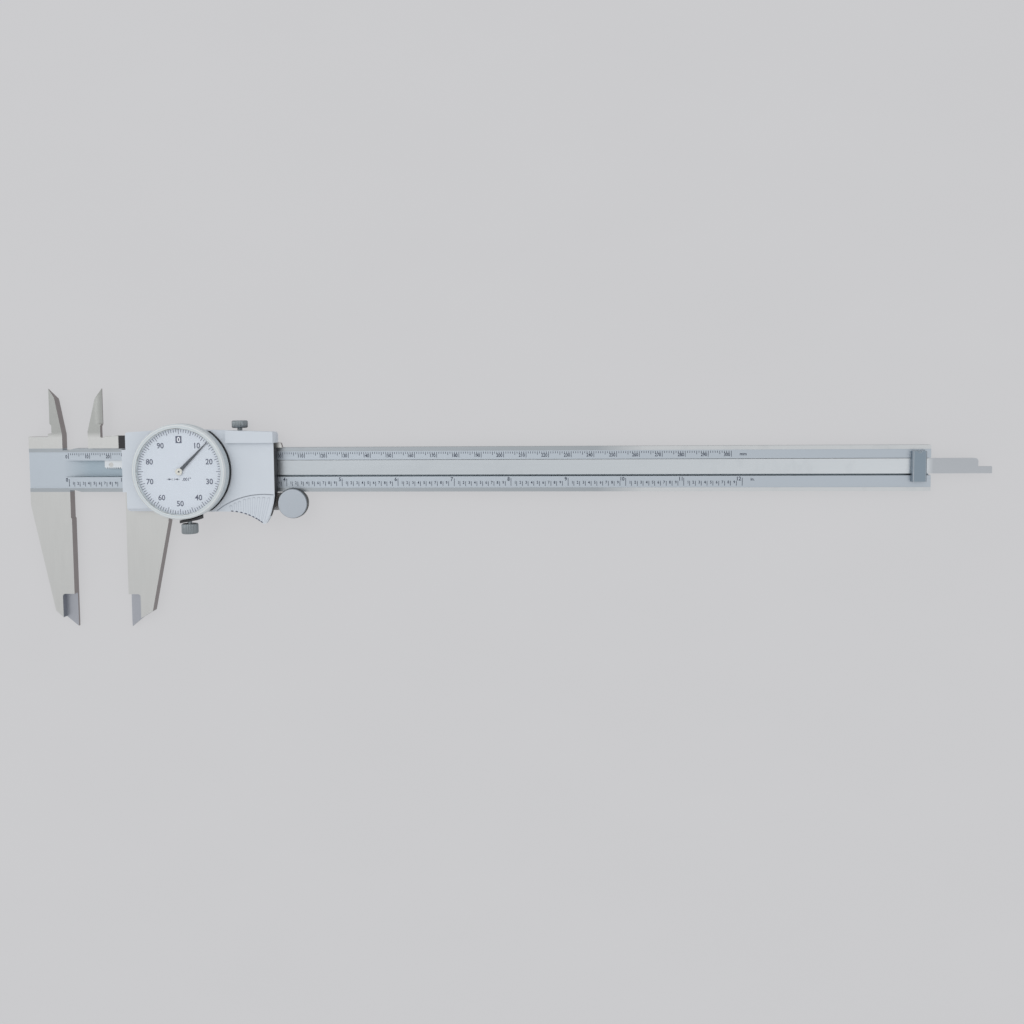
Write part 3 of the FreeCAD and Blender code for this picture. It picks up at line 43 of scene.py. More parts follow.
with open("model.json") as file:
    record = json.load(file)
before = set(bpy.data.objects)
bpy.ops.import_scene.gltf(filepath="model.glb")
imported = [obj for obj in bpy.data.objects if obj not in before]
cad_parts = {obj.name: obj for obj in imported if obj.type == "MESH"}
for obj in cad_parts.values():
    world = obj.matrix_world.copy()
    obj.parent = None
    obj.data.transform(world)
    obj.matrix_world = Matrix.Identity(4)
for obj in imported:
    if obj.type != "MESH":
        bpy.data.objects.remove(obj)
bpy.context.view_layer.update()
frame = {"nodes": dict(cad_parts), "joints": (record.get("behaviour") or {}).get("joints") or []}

# Places on the instrument, from the frame
MM = 0.001
INCH = 25.4 * MM
TRAVEL = next(joint for joint in frame["joints"] if joint["name"] == "slider_travel")
OPENING = -TRAVEL["range_m"][0]
ZERO_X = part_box("slider_cover")[0].x - OPENING
MIDDLE_Y = (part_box("right_wiper")[0].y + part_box("right_wiper")[1].y) / 2
BAND_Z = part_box("end_stop")[0].z
DIAL_LOW, DIAL_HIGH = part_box("dial_face")
DIAL = Vector(((DIAL_LOW.x + DIAL_HIGH.x) / 2, (DIAL_LOW.y + DIAL_HIGH.y) / 2, DIAL_HIGH.z))
DIAL_RADIUS = (DIAL_HIGH.x - DIAL_LOW.x) / 2

# Working values shared by the pieces. Heights across the beam count from its middle.
INK_DEEP = 0.04 * MM
RELIEF = 0.004 * MM
WELD = 0.002 * MM
CORNER = math.radians(28)
SMOOTH = math.radians(38)
FLAT_ANGLE = math.radians(0.5)
LEVEL = 0.03 * MM
SLOPE = 0.3
KNIFE_BELOW = -57.3 * MM
KNIFE_SHIFT = (-60.6 * MM, -59.2 * MM, 1.95 * MM)
DULL_TIPS = (15 * MM, 17.5 * MM)
LONG_GRAIN = 60.0


def srgb(*levels):
    """A colour given as 0 to 255 screen levels, in the linear values that Blender keeps."""
    shares = [level / 255 for level in levels]
    return tuple(s / 12.92 if s <= 0.04045 else ((s + 0.055) / 1.055) ** 2.4 for s in shares)


def colour(name, description, *levels):
    """A colour property with its default as screen levels."""
    return FloatVectorProperty(
        name=name, description=description, default=srgb(*levels), subtype="COLOR", size=3, min=0, max=1
    )


def length(name, description, millimetres):
    """A length property with its default in millimetres."""
    return FloatProperty(name=name, description=description, default=millimetres * MM, unit="LENGTH", min=0)


def share(name, description, value):
    """A property for a share between none and all."""
    return FloatProperty(name=name, description=description, default=value, subtype="FACTOR", min=0, max=1)


class CaliperSteel(PropertyGroup):
    """Steels of the beam, slider, rod and screws."""

    ground: colour("Ground steel", "Jaws and the slider's ground faces", 193, 194, 193)
    dull: colour("Inside jaws", "Ground steel at the inside jaws' tips", 160, 162, 160)
    land: colour("Lands", "Ground edges of the beam", 161, 167, 172)
    # Painted shade: the jaws' side faces are darker and brownish for the shaded floor they reflect, not for a
    # film of oil.
    side: colour("Ground sides", "Sides of the jaws, with a film of oil", 158, 152, 151)
    band: colour("Satin band", "Etched satin strips that carry the scales", 181, 189, 197)
    # Painted shade: the groove's walls and floor are darker than the band they are cut in, for the shade in
    # the recess.
    groove: colour("Groove", "Satin walls and floor of the beam's groove", 158, 172, 182)
    knife: colour("Knife faces", "Thinned tips of the outside jaws", 164, 167, 174)
    rod: colour("Depth rod", "Drawn strip of the depth rod", 178, 184, 189)
    # Painted reflection: the rod is made lighter towards the beam's end.
    rod_light: colour("Light end of the rod", "Depth rod towards the beam's end", 204, 209, 213)
    # Painted shade: the rod is made darker past the beam, as it looked at rest.
    rod_end: colour("Rod's end", "Depth rod past the beam", 175, 179, 184)
    # Painted reflection: the lands are made lighter towards the beam's end, where they catch more light.
    land_light: colour("Light lands", "Ground edges towards the beam's end", 197, 200, 202)
    # Painted highlight: the broken edges are a lighter steel than the faces they join.
    edge: colour("Broken edges", "Bright broken edges of the steel", 205, 209, 212)
    stop: colour("End stop", "Blackened block at the beam's end", 136, 149, 160)
    knurled: colour("Knurled screws", "Turned and knurled heads", 150, 157, 161)
    # Painted shade: the roller's knurled side is much darker than the knurled screws, for the shade on it.
    grime: colour("Knurled side", "Knurled side of the thumb roller", 92, 94, 92)
    roller: colour("Thumb roller", "Turned face of the thumb roller", 171, 178, 186)
    # Painted shade: the groove's lower wall is nearly black for the shadow in the gap under the depth rod,
    # not for oil.
    wall: colour("Groove's lower wall", "Oiled wall beside the rack", 66, 76, 84)
    roughness: share("Roughness", "Mean roughness of ground steel", 0.36)
    softness: length("Edge softness", "Width of the broken edges", 0.12)
    grain: FloatProperty(name="Grain", description="Grinding lines in a metre", default=1700, min=1)


class CaliperCover(PropertyGroup):
    """Painted cover of the slider."""

    paint: colour("Paint", "Baked enamel on the cover", 197, 204, 212)
    # Painted highlight: the cover's rounded edges are lighter than its paint, not rubbed through.
    worn: colour("Worn edge", "Rubbed enamel along the edges", 214, 220, 227)
    # Painted shadow: a dark line along the step at the top of the thumb rest, not dust.
    shade: colour("Shaded seam", "Dust in the seam over the thumb rest", 158, 164, 174)
    # Painted shade: dark marks where the rest's grooves run out at the finger edge, for the shade in them.
    notch: colour("Notches", "Dark notches at the finger edge", 74, 80, 98)
    softness: length("Edge softness", "Rounding of the cover's edges", 0.3)
    peel: FloatProperty(name="Peel", description="Ripples of the enamel in a metre", default=900, min=1)


class CaliperDial(PropertyGroup):
    """Dial, bezel and hand."""

    face: colour("Dial", "Lacquered dial", 201, 209, 219)
    ink: colour("Dial ink", "Numerals and lines", 46, 56, 84)
    bezel: colour("Bezel", "Moulded bezel", 192, 201, 205)
    # Painted highlight: the bezel's rounded edges are lighter than the moulding, not rubbed.
    rim: colour("Bezel edge", "Rubbed edges of the bezel", 212, 215, 216)
    black: colour("Black parts", "Housing, bracket and wipers", 24, 25, 30)
    hand: colour("Hand", "Blued hand", 22, 36, 50)
    cap: colour("Hand cap", "Cap on the hand", 206, 206, 198)
    line_thick: length("Line thickness", "Thickness of the dial's lines", 0.25)
    line_short: length("Short line", "Length of the thousandth lines", 1.7)
    line_long: length("Long line", "Length of every fifth line", 2.5)
    line_edge: length("Line edge", "Lines from the dial's edge", 0.1)
    numeral: length("Numeral height", "Height of the dial's numerals", 2.55)
    circle: length("Numeral circle", "Radius of the circle of numerals", 14.25)


class CaliperScale(PropertyGroup):
    """Scales on the beam."""

    ink: colour("Scale ink", "Etched and filled lines and numerals", 28, 38, 60)
    line_thick: length("Line thickness", "Thickness of the scale lines", 0.23)
    upper: length("Millimetre lines", "Top of the millimetre lines above the middle", 7.8)
    upper_short: length("Millimetre line", "Length of a millimetre line", 0.9)
    upper_fifth: length("Five millimetre line", "Length of every fifth line", 1.5)
    upper_tenth: length("Ten millimetre line", "Length of every tenth line", 2.6)
    upper_numeral: length("Millimetre numerals", "Height of the millimetre numerals", 1.6)
    lower: length("Inch lines", "Bottom of the inch lines below the middle", 7.55)
    lower_short: length("Tenth line", "Length of a tenth inch line", 2.1)
    lower_long: length("Inch line", "Length of an inch line", 3.45)
    lower_numeral: length("Inch numerals", "Height of the inch numerals", 1.75)
    lower_small: length("Tenth numerals", "Height of the tenth numerals", 1.3)


class CaliperStage(PropertyGroup):
    """Camera, floor and light."""

    floor: colour("Floor", "Pale paper under the instrument", 203, 203, 205)
    even: share("Even floor", "Share of the floor that the camera sees without shadow", 0.85)
    lens: FloatProperty(name="Lens", description="Focal length", default=31.424, subtype="DISTANCE_CAMERA")
    place: FloatVectorProperty(
        name="Camera", description="Where the camera stands", default=(0.030265, 0.050913, 0.40116),
        subtype="XYZ", unit="LENGTH", size=3,
    )
    turn: FloatVectorProperty(
        name="Camera turn", description="How the camera is turned",
        default=[math.radians(angle) for angle in (-3.30007, 3.47251, -0.44461)], subtype="EULER", size=3,
    )
    shift: FloatVectorProperty(
        name="Shift", description="How far the picture is shifted, in its own widths",
        default=(0.003294, -0.0647), subtype="XYZ", size=2,
    )
    sky: share("Sky", "Strength of the even light from all round", 0.92)
    lamp: FloatProperty(name="Lamp", description="Power of the large lamp", default=1.85, unit="POWER", min=0)


class Socket:
    """An output of a node that Python's operators work on, a Math node for each."""

    def __init__(self, finish, output):
        self.finish = finish
        self.output = output

    def maths(self, operation, first, second=0.0):
        return self.finish.add("ShaderNodeMath", {"operation": operation}, {0: first, 1: second})

    def __add__(self, other):
        return self.maths("ADD", self, other)

    def __radd__(self, other):
        return self.maths("ADD", other, self)

    def __sub__(self, other):
        return self.maths("SUBTRACT", self, other)

    def __rsub__(self, other):
        return self.maths("SUBTRACT", other, self)

    def __mul__(self, other):
        return self.maths("MULTIPLY", self, other)

    def __rmul__(self, other):
        return self.maths("MULTIPLY", other, self)


class Finish:
    """A node tree that is built one call at a time."""

    def __init__(self, owner):
        owner.use_nodes = True
        self.owner = owner
        self.tree = owner.node_tree
        self.tree.nodes.clear()

    def add(self, kind, settings=None, inputs=None, output=0):
        """Add a node with its settings, then its sockets' values or links, and give one output."""
        node = self.tree.nodes.new(kind)
        for name, value in (settings or {}).items():
            if name == "stops":
                for element, (position, level) in zip(node.color_ramp.elements, value):
                    element.position = position
                    element.color = (level, level, level, 1)
            else:
                setattr(node, name, value)
        for name, value in (inputs or {}).items():
            if isinstance(value, Socket):
                self.tree.links.new(value.output, node.inputs[name])
            else:
                node.inputs[name].default_value = value
        return Socket(self, node.outputs[output]) if node.outputs else None

    def place(self):
        """Where a point lies in the part's frame."""
        return self.add("ShaderNodeTexCoord", output="Object")

    def along(self, axis):
        """One coordinate of that place."""
        return self.add("ShaderNodeSeparateXYZ", inputs={0: self.place()}, output=axis)

    def noise(self, stretch, detail=3.0, roughness=0.55):
        """Noise whose ripples in a metre are given for each axis, or once for all."""
        if isinstance(stretch, float):
            stretch = (stretch, stretch, stretch)
        spot = self.add("ShaderNodeVectorMath", {"operation": "MULTIPLY"}, {0: self.place(), 1: stretch})
        sockets = {"Vector": spot, "Scale": 1.0, "Detail": detail, "Roughness": roughness}
        return self.add("ShaderNodeTexNoise", inputs=sockets)

    def ramp(self, value, low, high):
        """A share that climbs from 0 at low to 1 at high."""
        return self.add("ShaderNodeValToRGB", {"stops": ((low, 0.0), (high, 1.0))}, {0: value})

    def mix(self, factor, first, second):
        """A colour between two colours."""
        return self.add("ShaderNodeMix", {"data_type": "RGBA"}, {0: factor, 6: first, 7: second}, output=2)

    def tinted(self, base, fars):
        """A colour over which each far colour takes over between two places on an axis."""
        for tint, axis, start, end in fars:
            climb = self.ramp((self.along(axis) - start) * (1 / (end - start)), 0.0, 1.0)
            base = self.mix(climb, base, rgba(tint))
        return base

    def radius(self, centre):
        """How far a point lies from an axis along Z through the centre."""
        spot = self.add("ShaderNodeVectorMath", {"operation": "SUBTRACT"}, {0: self.place(), 1: centre})
        flat = self.add("ShaderNodeVectorMath", {"operation": "MULTIPLY"}, {0: spot, 1: (1.0, 1.0, 0.0)})
        return self.add("ShaderNodeVectorMath", {"operation": "LENGTH"}, {0: flat}, output="Value")

    def bump(self, height, strength, distance=RELIEF):
        """A normal that follows a height."""
        sockets = {"Height": height, "Strength": strength, "Distance": distance}
        return self.add("ShaderNodeBump", inputs=sockets)

    def surface(self, **sockets):
        """Close the tree with a Principled shader on these sockets, and give the material."""
        named = {name.replace("_", " "): value for name, value in sockets.items()}
        self.close(self.add("ShaderNodeBsdfPrincipled", inputs=named))
        return self.owner

    def close(self, shader):
        """End the tree in its material output."""
        self.add("ShaderNodeOutputMaterial", inputs={"Surface": shader})


def rgba(rgb, level=1.0):
    """A colour with its alpha, lighter or darker by a factor."""
    return tuple(min(1.0, channel * level) for channel in rgb) + (1.0,)


MADE = {}


def made(name, build, *arguments):
    """A material of this name, built the first time that it is asked for."""
    if name not in MADE:
        MADE[name] = build(Finish(bpy.data.materials.new(name)), *arguments)
    return MADE[name]


def ground_metal(f, rgb, roughness, stretch, *fars):
    """Ground metal: fine lines one way, slow changes of tone and faint smudges."""
    lines = f.noise(stretch, detail=4.0)
    tone = f.noise(38.0, detail=2.0)
    smudge = f.ramp(f.noise((95.0, 70.0, 95.0), detail=5.0, roughness=0.6), 0.52, 0.74)
    darker = f.mix(lines, rgba(rgb, 0.95), rgba(rgb, 1.05))
    toned = f.tinted(f.mix(tone * 0.35, darker, rgba(rgb, 0.9)), fars)
    base = f.mix(smudge * 0.18, toned, rgba(rgb, 0.82))
    rough = roughness + (lines - 0.5) * 0.16 + smudge * 0.1
    return f.surface(Base_Color=base, Metallic=1.0, Roughness=rough, Normal=f.bump(lines, 0.35))


def satin_metal(f, rgb, roughness=0.5, *fars):
    """Satin chrome: a fine even frost."""
    frost = f.noise(5200.0, detail=2.0)
    cloud = f.noise((55.0, 160.0, 55.0), detail=3.0)
    base = f.mix(frost, rgba(rgb, 0.96), rgba(rgb, 1.03))
    toned = f.tinted(f.mix(cloud * 0.22, base, rgba(rgb, 0.9)), fars)
    rough = roughness + (frost - 0.5) * 0.12
    return f.surface(Base_Color=toned, Metallic=1.0, Roughness=rough, Normal=f.bump(frost, 0.3))


def turned_metal(f, rgb, centre, roughness=0.34, rings=2600.0):
    """Turned metal: rings round an axis along Z through the centre."""
    waves = {"W": f.radius(centre) * rings, "Detail": 3.0}
    wave = f.add("ShaderNodeTexNoise", {"noise_dimensions": "1D"}, waves)
    cloud = f.noise(120.0)
    base = f.mix(wave, rgba(rgb, 0.93), rgba(rgb, 1.06))
    toned = f.mix(cloud * 0.25, base, rgba(rgb, 0.88))
    rough = roughness + (wave - 0.5) * 0.14
    return f.surface(Base_Color=toned, Metallic=1.0, Roughness=rough, Normal=f.bump(wave, 0.3))


def knurled_metal(f, rgb, stretch):
    """Knurled steel with oil and dust in its grooves."""
    grime = f.noise(stretch, detail=3.0)
    patch = f.ramp(f.noise(420.0), 0.35, 0.7)
    base = f.mix(grime, rgba(rgb, 0.62), rgba(rgb, 1.15))
    toned = f.mix(patch * 0.3, base, rgba(rgb, 0.7))
    return f.surface(Base_Color=toned, Metallic=1.0, Roughness=0.3 + grime * 0.25,
                     Normal=f.bump(grime, 0.3, 0.01 * MM))


def enamel(f, rgb, peel, roughness=0.42):
    """Baked enamel on a casting: a soft orange peel and a slight mottle."""
    ripple = f.noise(peel, detail=2.0)
    mottle = f.noise(85.0, detail=4.0)
    base = f.mix(mottle, rgba(rgb, 0.955), rgba(rgb, 1.04))
    fine = f.mix(ripple * 0.4, base, rgba(rgb, 0.97))
    rough = roughness + (mottle - 0.5) * 0.12
    return f.surface(Base_Color=fine, Metallic=0.0, Roughness=rough, Normal=f.bump(ripple, 0.25, 0.02 * MM),
                     Coat_Weight=0.12, Coat_Roughness=0.3)


def moulded(f, rgb, roughness=0.4, grit=3200.0):
    """Moulded plastic with a fine grit from its tool."""
    fine = f.noise(grit, detail=2.0)
    cloud = f.noise(110.0, detail=2.0)
    base = f.mix(cloud, rgba(rgb, 0.96), rgba(rgb, 1.03))
    toned = f.mix(fine * 0.3, base, rgba(rgb, 0.95))
    return f.surface(Base_Color=toned, Roughness=roughness + (fine - 0.5) * 0.15,
                     Normal=f.bump(fine, 0.2, 0.006 * MM))


def lacquered(f, rgb):
    """The dial's lacquer: a fine tooth, with painted shade towards its edge under the bezel."""
    # Painted shade: darker towards the edge, where the bezel shades the dial.
    rim = f.ramp(f.radius(tuple(DIAL)) * (1 / DIAL_RADIUS), 0.86, 1.0)
    tooth = f.noise(2600.0, detail=3.0)
    base = f.mix(tooth, rgba(rgb, 0.965), rgba(rgb, 1.03))
    shaded = f.mix(rim * 0.5, base, rgba(rgb, 0.86))
    return f.surface(Base_Color=shaded, Roughness=0.5 + (tooth - 0.5) * 0.1,
                     Normal=f.bump(tooth, 0.15, 0.005 * MM))


def printed(f, rgb):
    """Ink or paint in an etched line, a little uneven."""
    uneven = f.noise(3000.0, detail=2.0)
    return f.surface(Base_Color=f.mix(uneven, rgba(rgb, 0.85), rgba(rgb, 1.2)), Roughness=0.5 + uneven * 0.2)


def blued(f, rgb):
    """Blued spring steel."""
    streak = f.noise(900.0, detail=2.0)
    base = f.mix(streak, rgba(rgb, 0.8), rgba(rgb, 1.3))
    return f.surface(Base_Color=base, Metallic=0.6, Roughness=0.32 + streak * 0.12)


def brass(f, rgb):
    """Stamped brass with a faint tarnish."""
    tarnish = f.noise(260.0, detail=4.0)
    base = f.mix(tarnish, rgba(rgb, 0.75), rgba(rgb, 1.1))
    return f.surface(Base_Color=base, Metallic=1.0, Roughness=0.28 + tarnish * 0.2)


def clear(f):
    """Clear acrylic that shows little but its gloss."""
    haze = f.noise(60.0, detail=2.0)
    return f.surface(Base_Color=(0.93, 0.95, 0.97, 1.0), Roughness=0.06 + haze * 0.03, Alpha=0.05, IOR=1.49)


def broken_edge():
    """Painted highlight on the broken edges of ground steel: a lighter copy of the steel."""
    return made("broken_edge", ground_metal, bpy.context.scene.caliper_steel.edge, 0.3, 400.0)


def jaw_finishes():
    """Finishes of a jaw: its faces with their lines along it, its sides in a darker painted shade and its
    thinned tip.
    """
    s = bpy.context.scene.caliper_steel
    along = (s.grain, LONG_GRAIN, s.grain)
    dull = (s.dull, "Y", *[MIDDLE_Y + height for height in DULL_TIPS])
    tip = made("knife_steel", ground_metal, s.knife, 0.4, along)
    face = made("ground_steel_jaws", ground_metal, s.ground, s.roughness, along, dull)
    # Painted shade: a darker, brownish copy of the jaw steel for the side faces.
    side = made("steel_side_shade", ground_metal, s.side, 0.4, (s.grain, s.grain, LONG_GRAIN))
    return face, side, tip


def jaw_side(face, front):
    """Which of those finishes a face of a jaw has, by how and where it lies."""
    face.normal_update()
    middle = face.calc_center_median()
    if middle.y - MIDDLE_Y < KNIFE_BELOW and middle.z < front - MM:
        return 2
    return int(abs(face.normal.z) < SLOPE)


def black_moulding():
    """Black moulding of the housing, the bracket and the wipers."""
    return made("black_moulding", moulded, bpy.context.scene.caliper_dial.black, 0.45)


def screw_steel():
    """Turned steel of small screws and arbors."""
    s = bpy.context.scene.caliper_steel
    return made("screw_steel", ground_metal, s.ground, 0.3, (2200.0, 2200.0, 300.0))


def linked(name, data):
    """A new object in the scene."""
    thing = bpy.data.objects.new(name, data)
    bpy.context.scene.collection.objects.link(thing)
    return thing


def scene_object(name, shape, body, slot, *finishes, replaces=(), smooth=SMOOTH):
    """A bmesh as a named piece that rides on a body, with its finishes; its slot is not used."""
    mesh = bpy.data.meshes.new(name)
    bmesh.ops.recalc_face_normals(shape, faces=shape.faces)
    shape.to_mesh(mesh)
    shape.free()
    for finish in finishes:
        mesh.materials.append(finish)
    mesh.shade_smooth()
    mesh.set_sharp_from_angle(angle=smooth)
    piece = linked(name, mesh)
    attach(piece, body)
    if replaces:
        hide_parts(*replaces)
    weighted = piece.modifiers.new("Weighted normals", "WEIGHTED_NORMAL")
    weighted.keep_sharp = True
    return piece


def softened(name, node, width, body, slot, finishes, pick=None, segments=2, shifts=(), cuts=()):
    """A copy of a CAD node with its edges broken, which stands for the node.

    The second finish goes on the broken edges, a lighter one that paints a highlight there, and pick gives
    the finish of each other face. Each shift moves the corners between two heights across the beam, and each
    cut parts the faces at one.
    """
    shape = bmesh.new()
    shape.from_mesh(frame["nodes"][node].data)
    for low, high, rise in shifts:
        for corner in shape.verts:
            if low < corner.co.y - MIDDLE_Y < high:
                corner.co.y += rise
    for face in shape.faces:
        face.material_index = 0
    bmesh.ops.remove_doubles(shape, verts=shape.verts, dist=WELD)
    bmesh.ops.dissolve_limit(
        shape, angle_limit=FLAT_ANGLE, verts=shape.verts, edges=shape.edges, delimit={"NORMAL"}
    )
    for height in cuts:
        whole = shape.verts[:] + shape.edges[:] + shape.faces[:]
        bmesh.ops.bisect_plane(shape, geom=whole, plane_co=(0, MIDDLE_Y + height, 0), plane_no=(0, 1, 0))
    corners = [edge for edge in shape.edges if edge.is_manifold and edge.calc_face_angle(0) > CORNER]
    bmesh.ops.bevel(
        shape, geom=corners, offset=width, segments=segments, profile=0.5, affect="EDGES",
        clamp_overlap=True, material=1,
    )
    if pick:
        for face in shape.faces:
            if face.material_index == 0:
                face.material_index = pick(face)
    return scene_object(name, shape, body, slot, *finishes, replaces=(node,))


def dress(finish, *nodes):
    """Give CAD nodes a finish and leave their shape."""
    for node in nodes:
        mesh = frame["nodes"][node].data
        mesh.materials.clear()
        mesh.materials.append(finish)


def lathe(profile, place, axis=Vector((0, 0, 1)), around=96, knurl=0.0, grooves=0):
    """A closed turned shape. The profile is radius and height, from the axis round to the axis.

    A knurl of that depth and so many grooves is cut into the widest radius.
    """
    shape = bmesh.new()
    widest = max(radius for radius, height in profile)
    turn = Vector((0, 0, 1)).rotation_difference(axis).to_matrix()
    rings = []
    for radius, height in profile:
        ring = []
        for step in range(around if radius else 1):
            angle = 2 * math.pi * step / around
            cut = knurl * abs(math.sin(angle * grooves / 2)) if radius == widest else 0.0
            spot = Vector(((radius - cut) * math.cos(angle), (radius - cut) * math.sin(angle), height))
            ring.append(shape.verts.new(turn @ spot + place))
        rings.append(ring)
    for low, high in zip(rings, rings[1:]):
        for step in range(around):
            after = (step + 1) % around
            ends = ((low, step), (low, after), (high, after), (high, step))
            corners = list(dict.fromkeys(ring[end % len(ring)] for ring, end in ends))
            if len(corners) > 2:
                shape.faces.new(corners)
    return shape


def slab(shape, spot, size, turn=0.0):
    """Add a thin closed box to a shape: its middle, its size and its turn about Z."""
    matrix = Matrix.Translation(spot) @ Matrix.Rotation(turn, 4, "Z") @ Matrix.Diagonal((*size, 1.0))
    bmesh.ops.create_cube(shape, size=1.0, matrix=matrix)


def prism(shape, outline, tall):
    """Add an upright prism over an outline."""
    low = [shape.verts.new(corner) for corner in outline]
    high = [shape.verts.new(corner + Vector((0, 0, tall))) for corner in outline]
    shape.faces.new(low)
    shape.faces.new(high)
    for step, corner in enumerate(low):
        after = (step + 1) % len(low)
        shape.faces.new((corner, low[after], high[after], high[step]))


def stroke(shape, points, wide):
    """Add a thin line through points."""
    for start, end in zip(points, points[1:]):
        way = end - start
        size = (way.length + wide / 2, wide, INK_DEEP)
        slab(shape, (start + end) / 2, size, math.atan2(way.y, way.x))


GLYPHS = {}
GLYPH_WELD = 0.001


def glyph(text):
    """The mesh of a word, one unit tall, centred on its middle and one unit thick."""
    if text not in GLYPHS:
        font = bpy.data.curves.new("word", "FONT")
        font.body = text
        font.align_x = "CENTER"
        font.extrude = 0.5
        font.offset = 0.02
        font.resolution_u = 3
        holder = linked("word", font)
        bpy.context.view_layer.update()
        mesh = bpy.data.meshes.new_from_object(holder.evaluated_get(bpy.context.evaluated_depsgraph_get()))
        bpy.data.objects.remove(holder)
        across, up = zip(*[vertex.co.xy for vertex in mesh.vertices])
        left, right, low, high = min(across), max(across), min(up), max(up)
        mesh.transform(Matrix.Translation((-(left + right) / 2, -(low + high) / 2, 0)))
        mesh.transform(Matrix.Diagonal((1 / (high - low), 1 / (high - low), 1.0, 1.0)))
        joined = bmesh.new()
        joined.from_mesh(mesh)
        bmesh.ops.remove_doubles(joined, verts=joined.verts, dist=GLYPH_WELD)
        joined.to_mesh(mesh)
        joined.free()
        GLYPHS[text] = (mesh, (right - left) / (high - low))
    return GLYPHS[text]


def word(shape, text, spot, tall, right=False, wide=1.0):
    """Add a word to a shape. It is centred on the spot, or ends there, and is as tall as given."""
    mesh, ratio = glyph(text)
    shift = -ratio * tall * wide / 2 if right else 0.0
    placed = mesh.copy()
    placed.transform(Matrix.Diagonal((tall * wide, tall, INK_DEEP, 1.0)))
    placed.transform(Matrix.Translation(Vector(spot) + Vector((shift, 0, 0))))
    shape.from_mesh(placed)
    bpy.data.meshes.remove(placed)


class CALIPER_OT_stage(Operator):
    """Set up the camera, the floor and the light"""

    bl_idname = "caliper.stage"
    bl_label = "Stage"

    floor_half = 3.0
    lamp_side = 0.7
    lamp_place = Vector((-0.42, 0.42, 0.85))
    fill_place = Vector((0.6, -0.5, 0.8))
    key_to_fill = 5
    horizon = (0.72, 0.72, 0.74, 1.0)
    zenith = (1.0, 1.0, 1.0, 1.0)

    def execute(self, context):
        s = context.scene.caliper_stage
        self.camera(context, s)
        self.floor(s)
        self.lamp("key_lamp", self.lamp_place, s.lamp)
        self.lamp("fill_lamp", self.fill_place, s.lamp / self.key_to_fill)
        self.sky(context, s)
        context.scene.view_settings.view_transform = "Standard"
        return {"FINISHED"}

    def camera(self, context, s):
        """The camera, where the photograph was taken from."""
        camera = linked("camera", bpy.data.cameras.new("camera"))
        camera.location = s.place
        camera.rotation_euler = Euler(s.turn)
        camera.data.lens = s.lens
        camera.data.shift_x, camera.data.shift_y = s.shift
        context.scene.camera = camera

    def floor(self, s):
        """The floor under the instrument."""
        shape = bmesh.new()
        bmesh.ops.create_grid(shape, x_segments=8, y_segments=8, size=self.floor_half)
        mesh = bpy.data.meshes.new("floor")
        shape.to_mesh(mesh)
        shape.free()
        mesh.materials.append(made("floor_paper", self.paper, s.floor, s.even))
        linked("floor", mesh)

    @staticmethod
    def paper(f, rgb, even):
        """Pale paper with a faint slow tone. The camera and mirrors see it almost without shadow."""
        tone = f.noise((11.0, 19.0, 11.0), detail=3.0)
        pale = f.mix(tone, rgba(rgb, 0.985), rgba(rgb, 1.015))
        seen = f.add("ShaderNodeLightPath", output="Is Camera Ray")
        mirrored = f.add("ShaderNodeLightPath", output="Is Glossy Ray")
        through = f.add("ShaderNodeLightPath", output="Is Transmission Ray")
        paper = f.add("ShaderNodeBsdfPrincipled", inputs={"Base Color": pale, "Roughness": 0.9})
        glow = f.add("ShaderNodeEmission", inputs={"Color": pale})
        bare = (seen + mirrored + through) * even
        f.close(f.add("ShaderNodeMixShader", inputs={0: bare, 1: paper, 2: glow}))
        return f.owner

    def lamp(self, name, place, power):
        """A square lamp that faces the instrument."""
        data = bpy.data.lights.new(name, "AREA")
        data.shape = "SQUARE"
        data.size = self.lamp_side
        data.energy = power
        lamp = linked(name, data)
        lamp.location = place
        lamp.rotation_euler = (-place).to_track_quat("-Z", "Y").to_euler()

    def sky(self, context, s):
        """Even light from all round, a little darker low down."""
        world = bpy.data.worlds.new("studio")
        context.scene.world = world
        f = Finish(world)
        up = f.add("ShaderNodeTexCoord", output="Generated")
        height = f.add("ShaderNodeSeparateXYZ", inputs={0: up}, output="Z")
        glow = f.ramp(height, 0.0, 0.9)
        tint = f.mix(glow, self.horizon, self.zenith)
        light = f.add("ShaderNodeBackground", inputs={"Color": tint, "Strength": s.sky})
        f.add("ShaderNodeOutputWorld", inputs={"Surface": light})


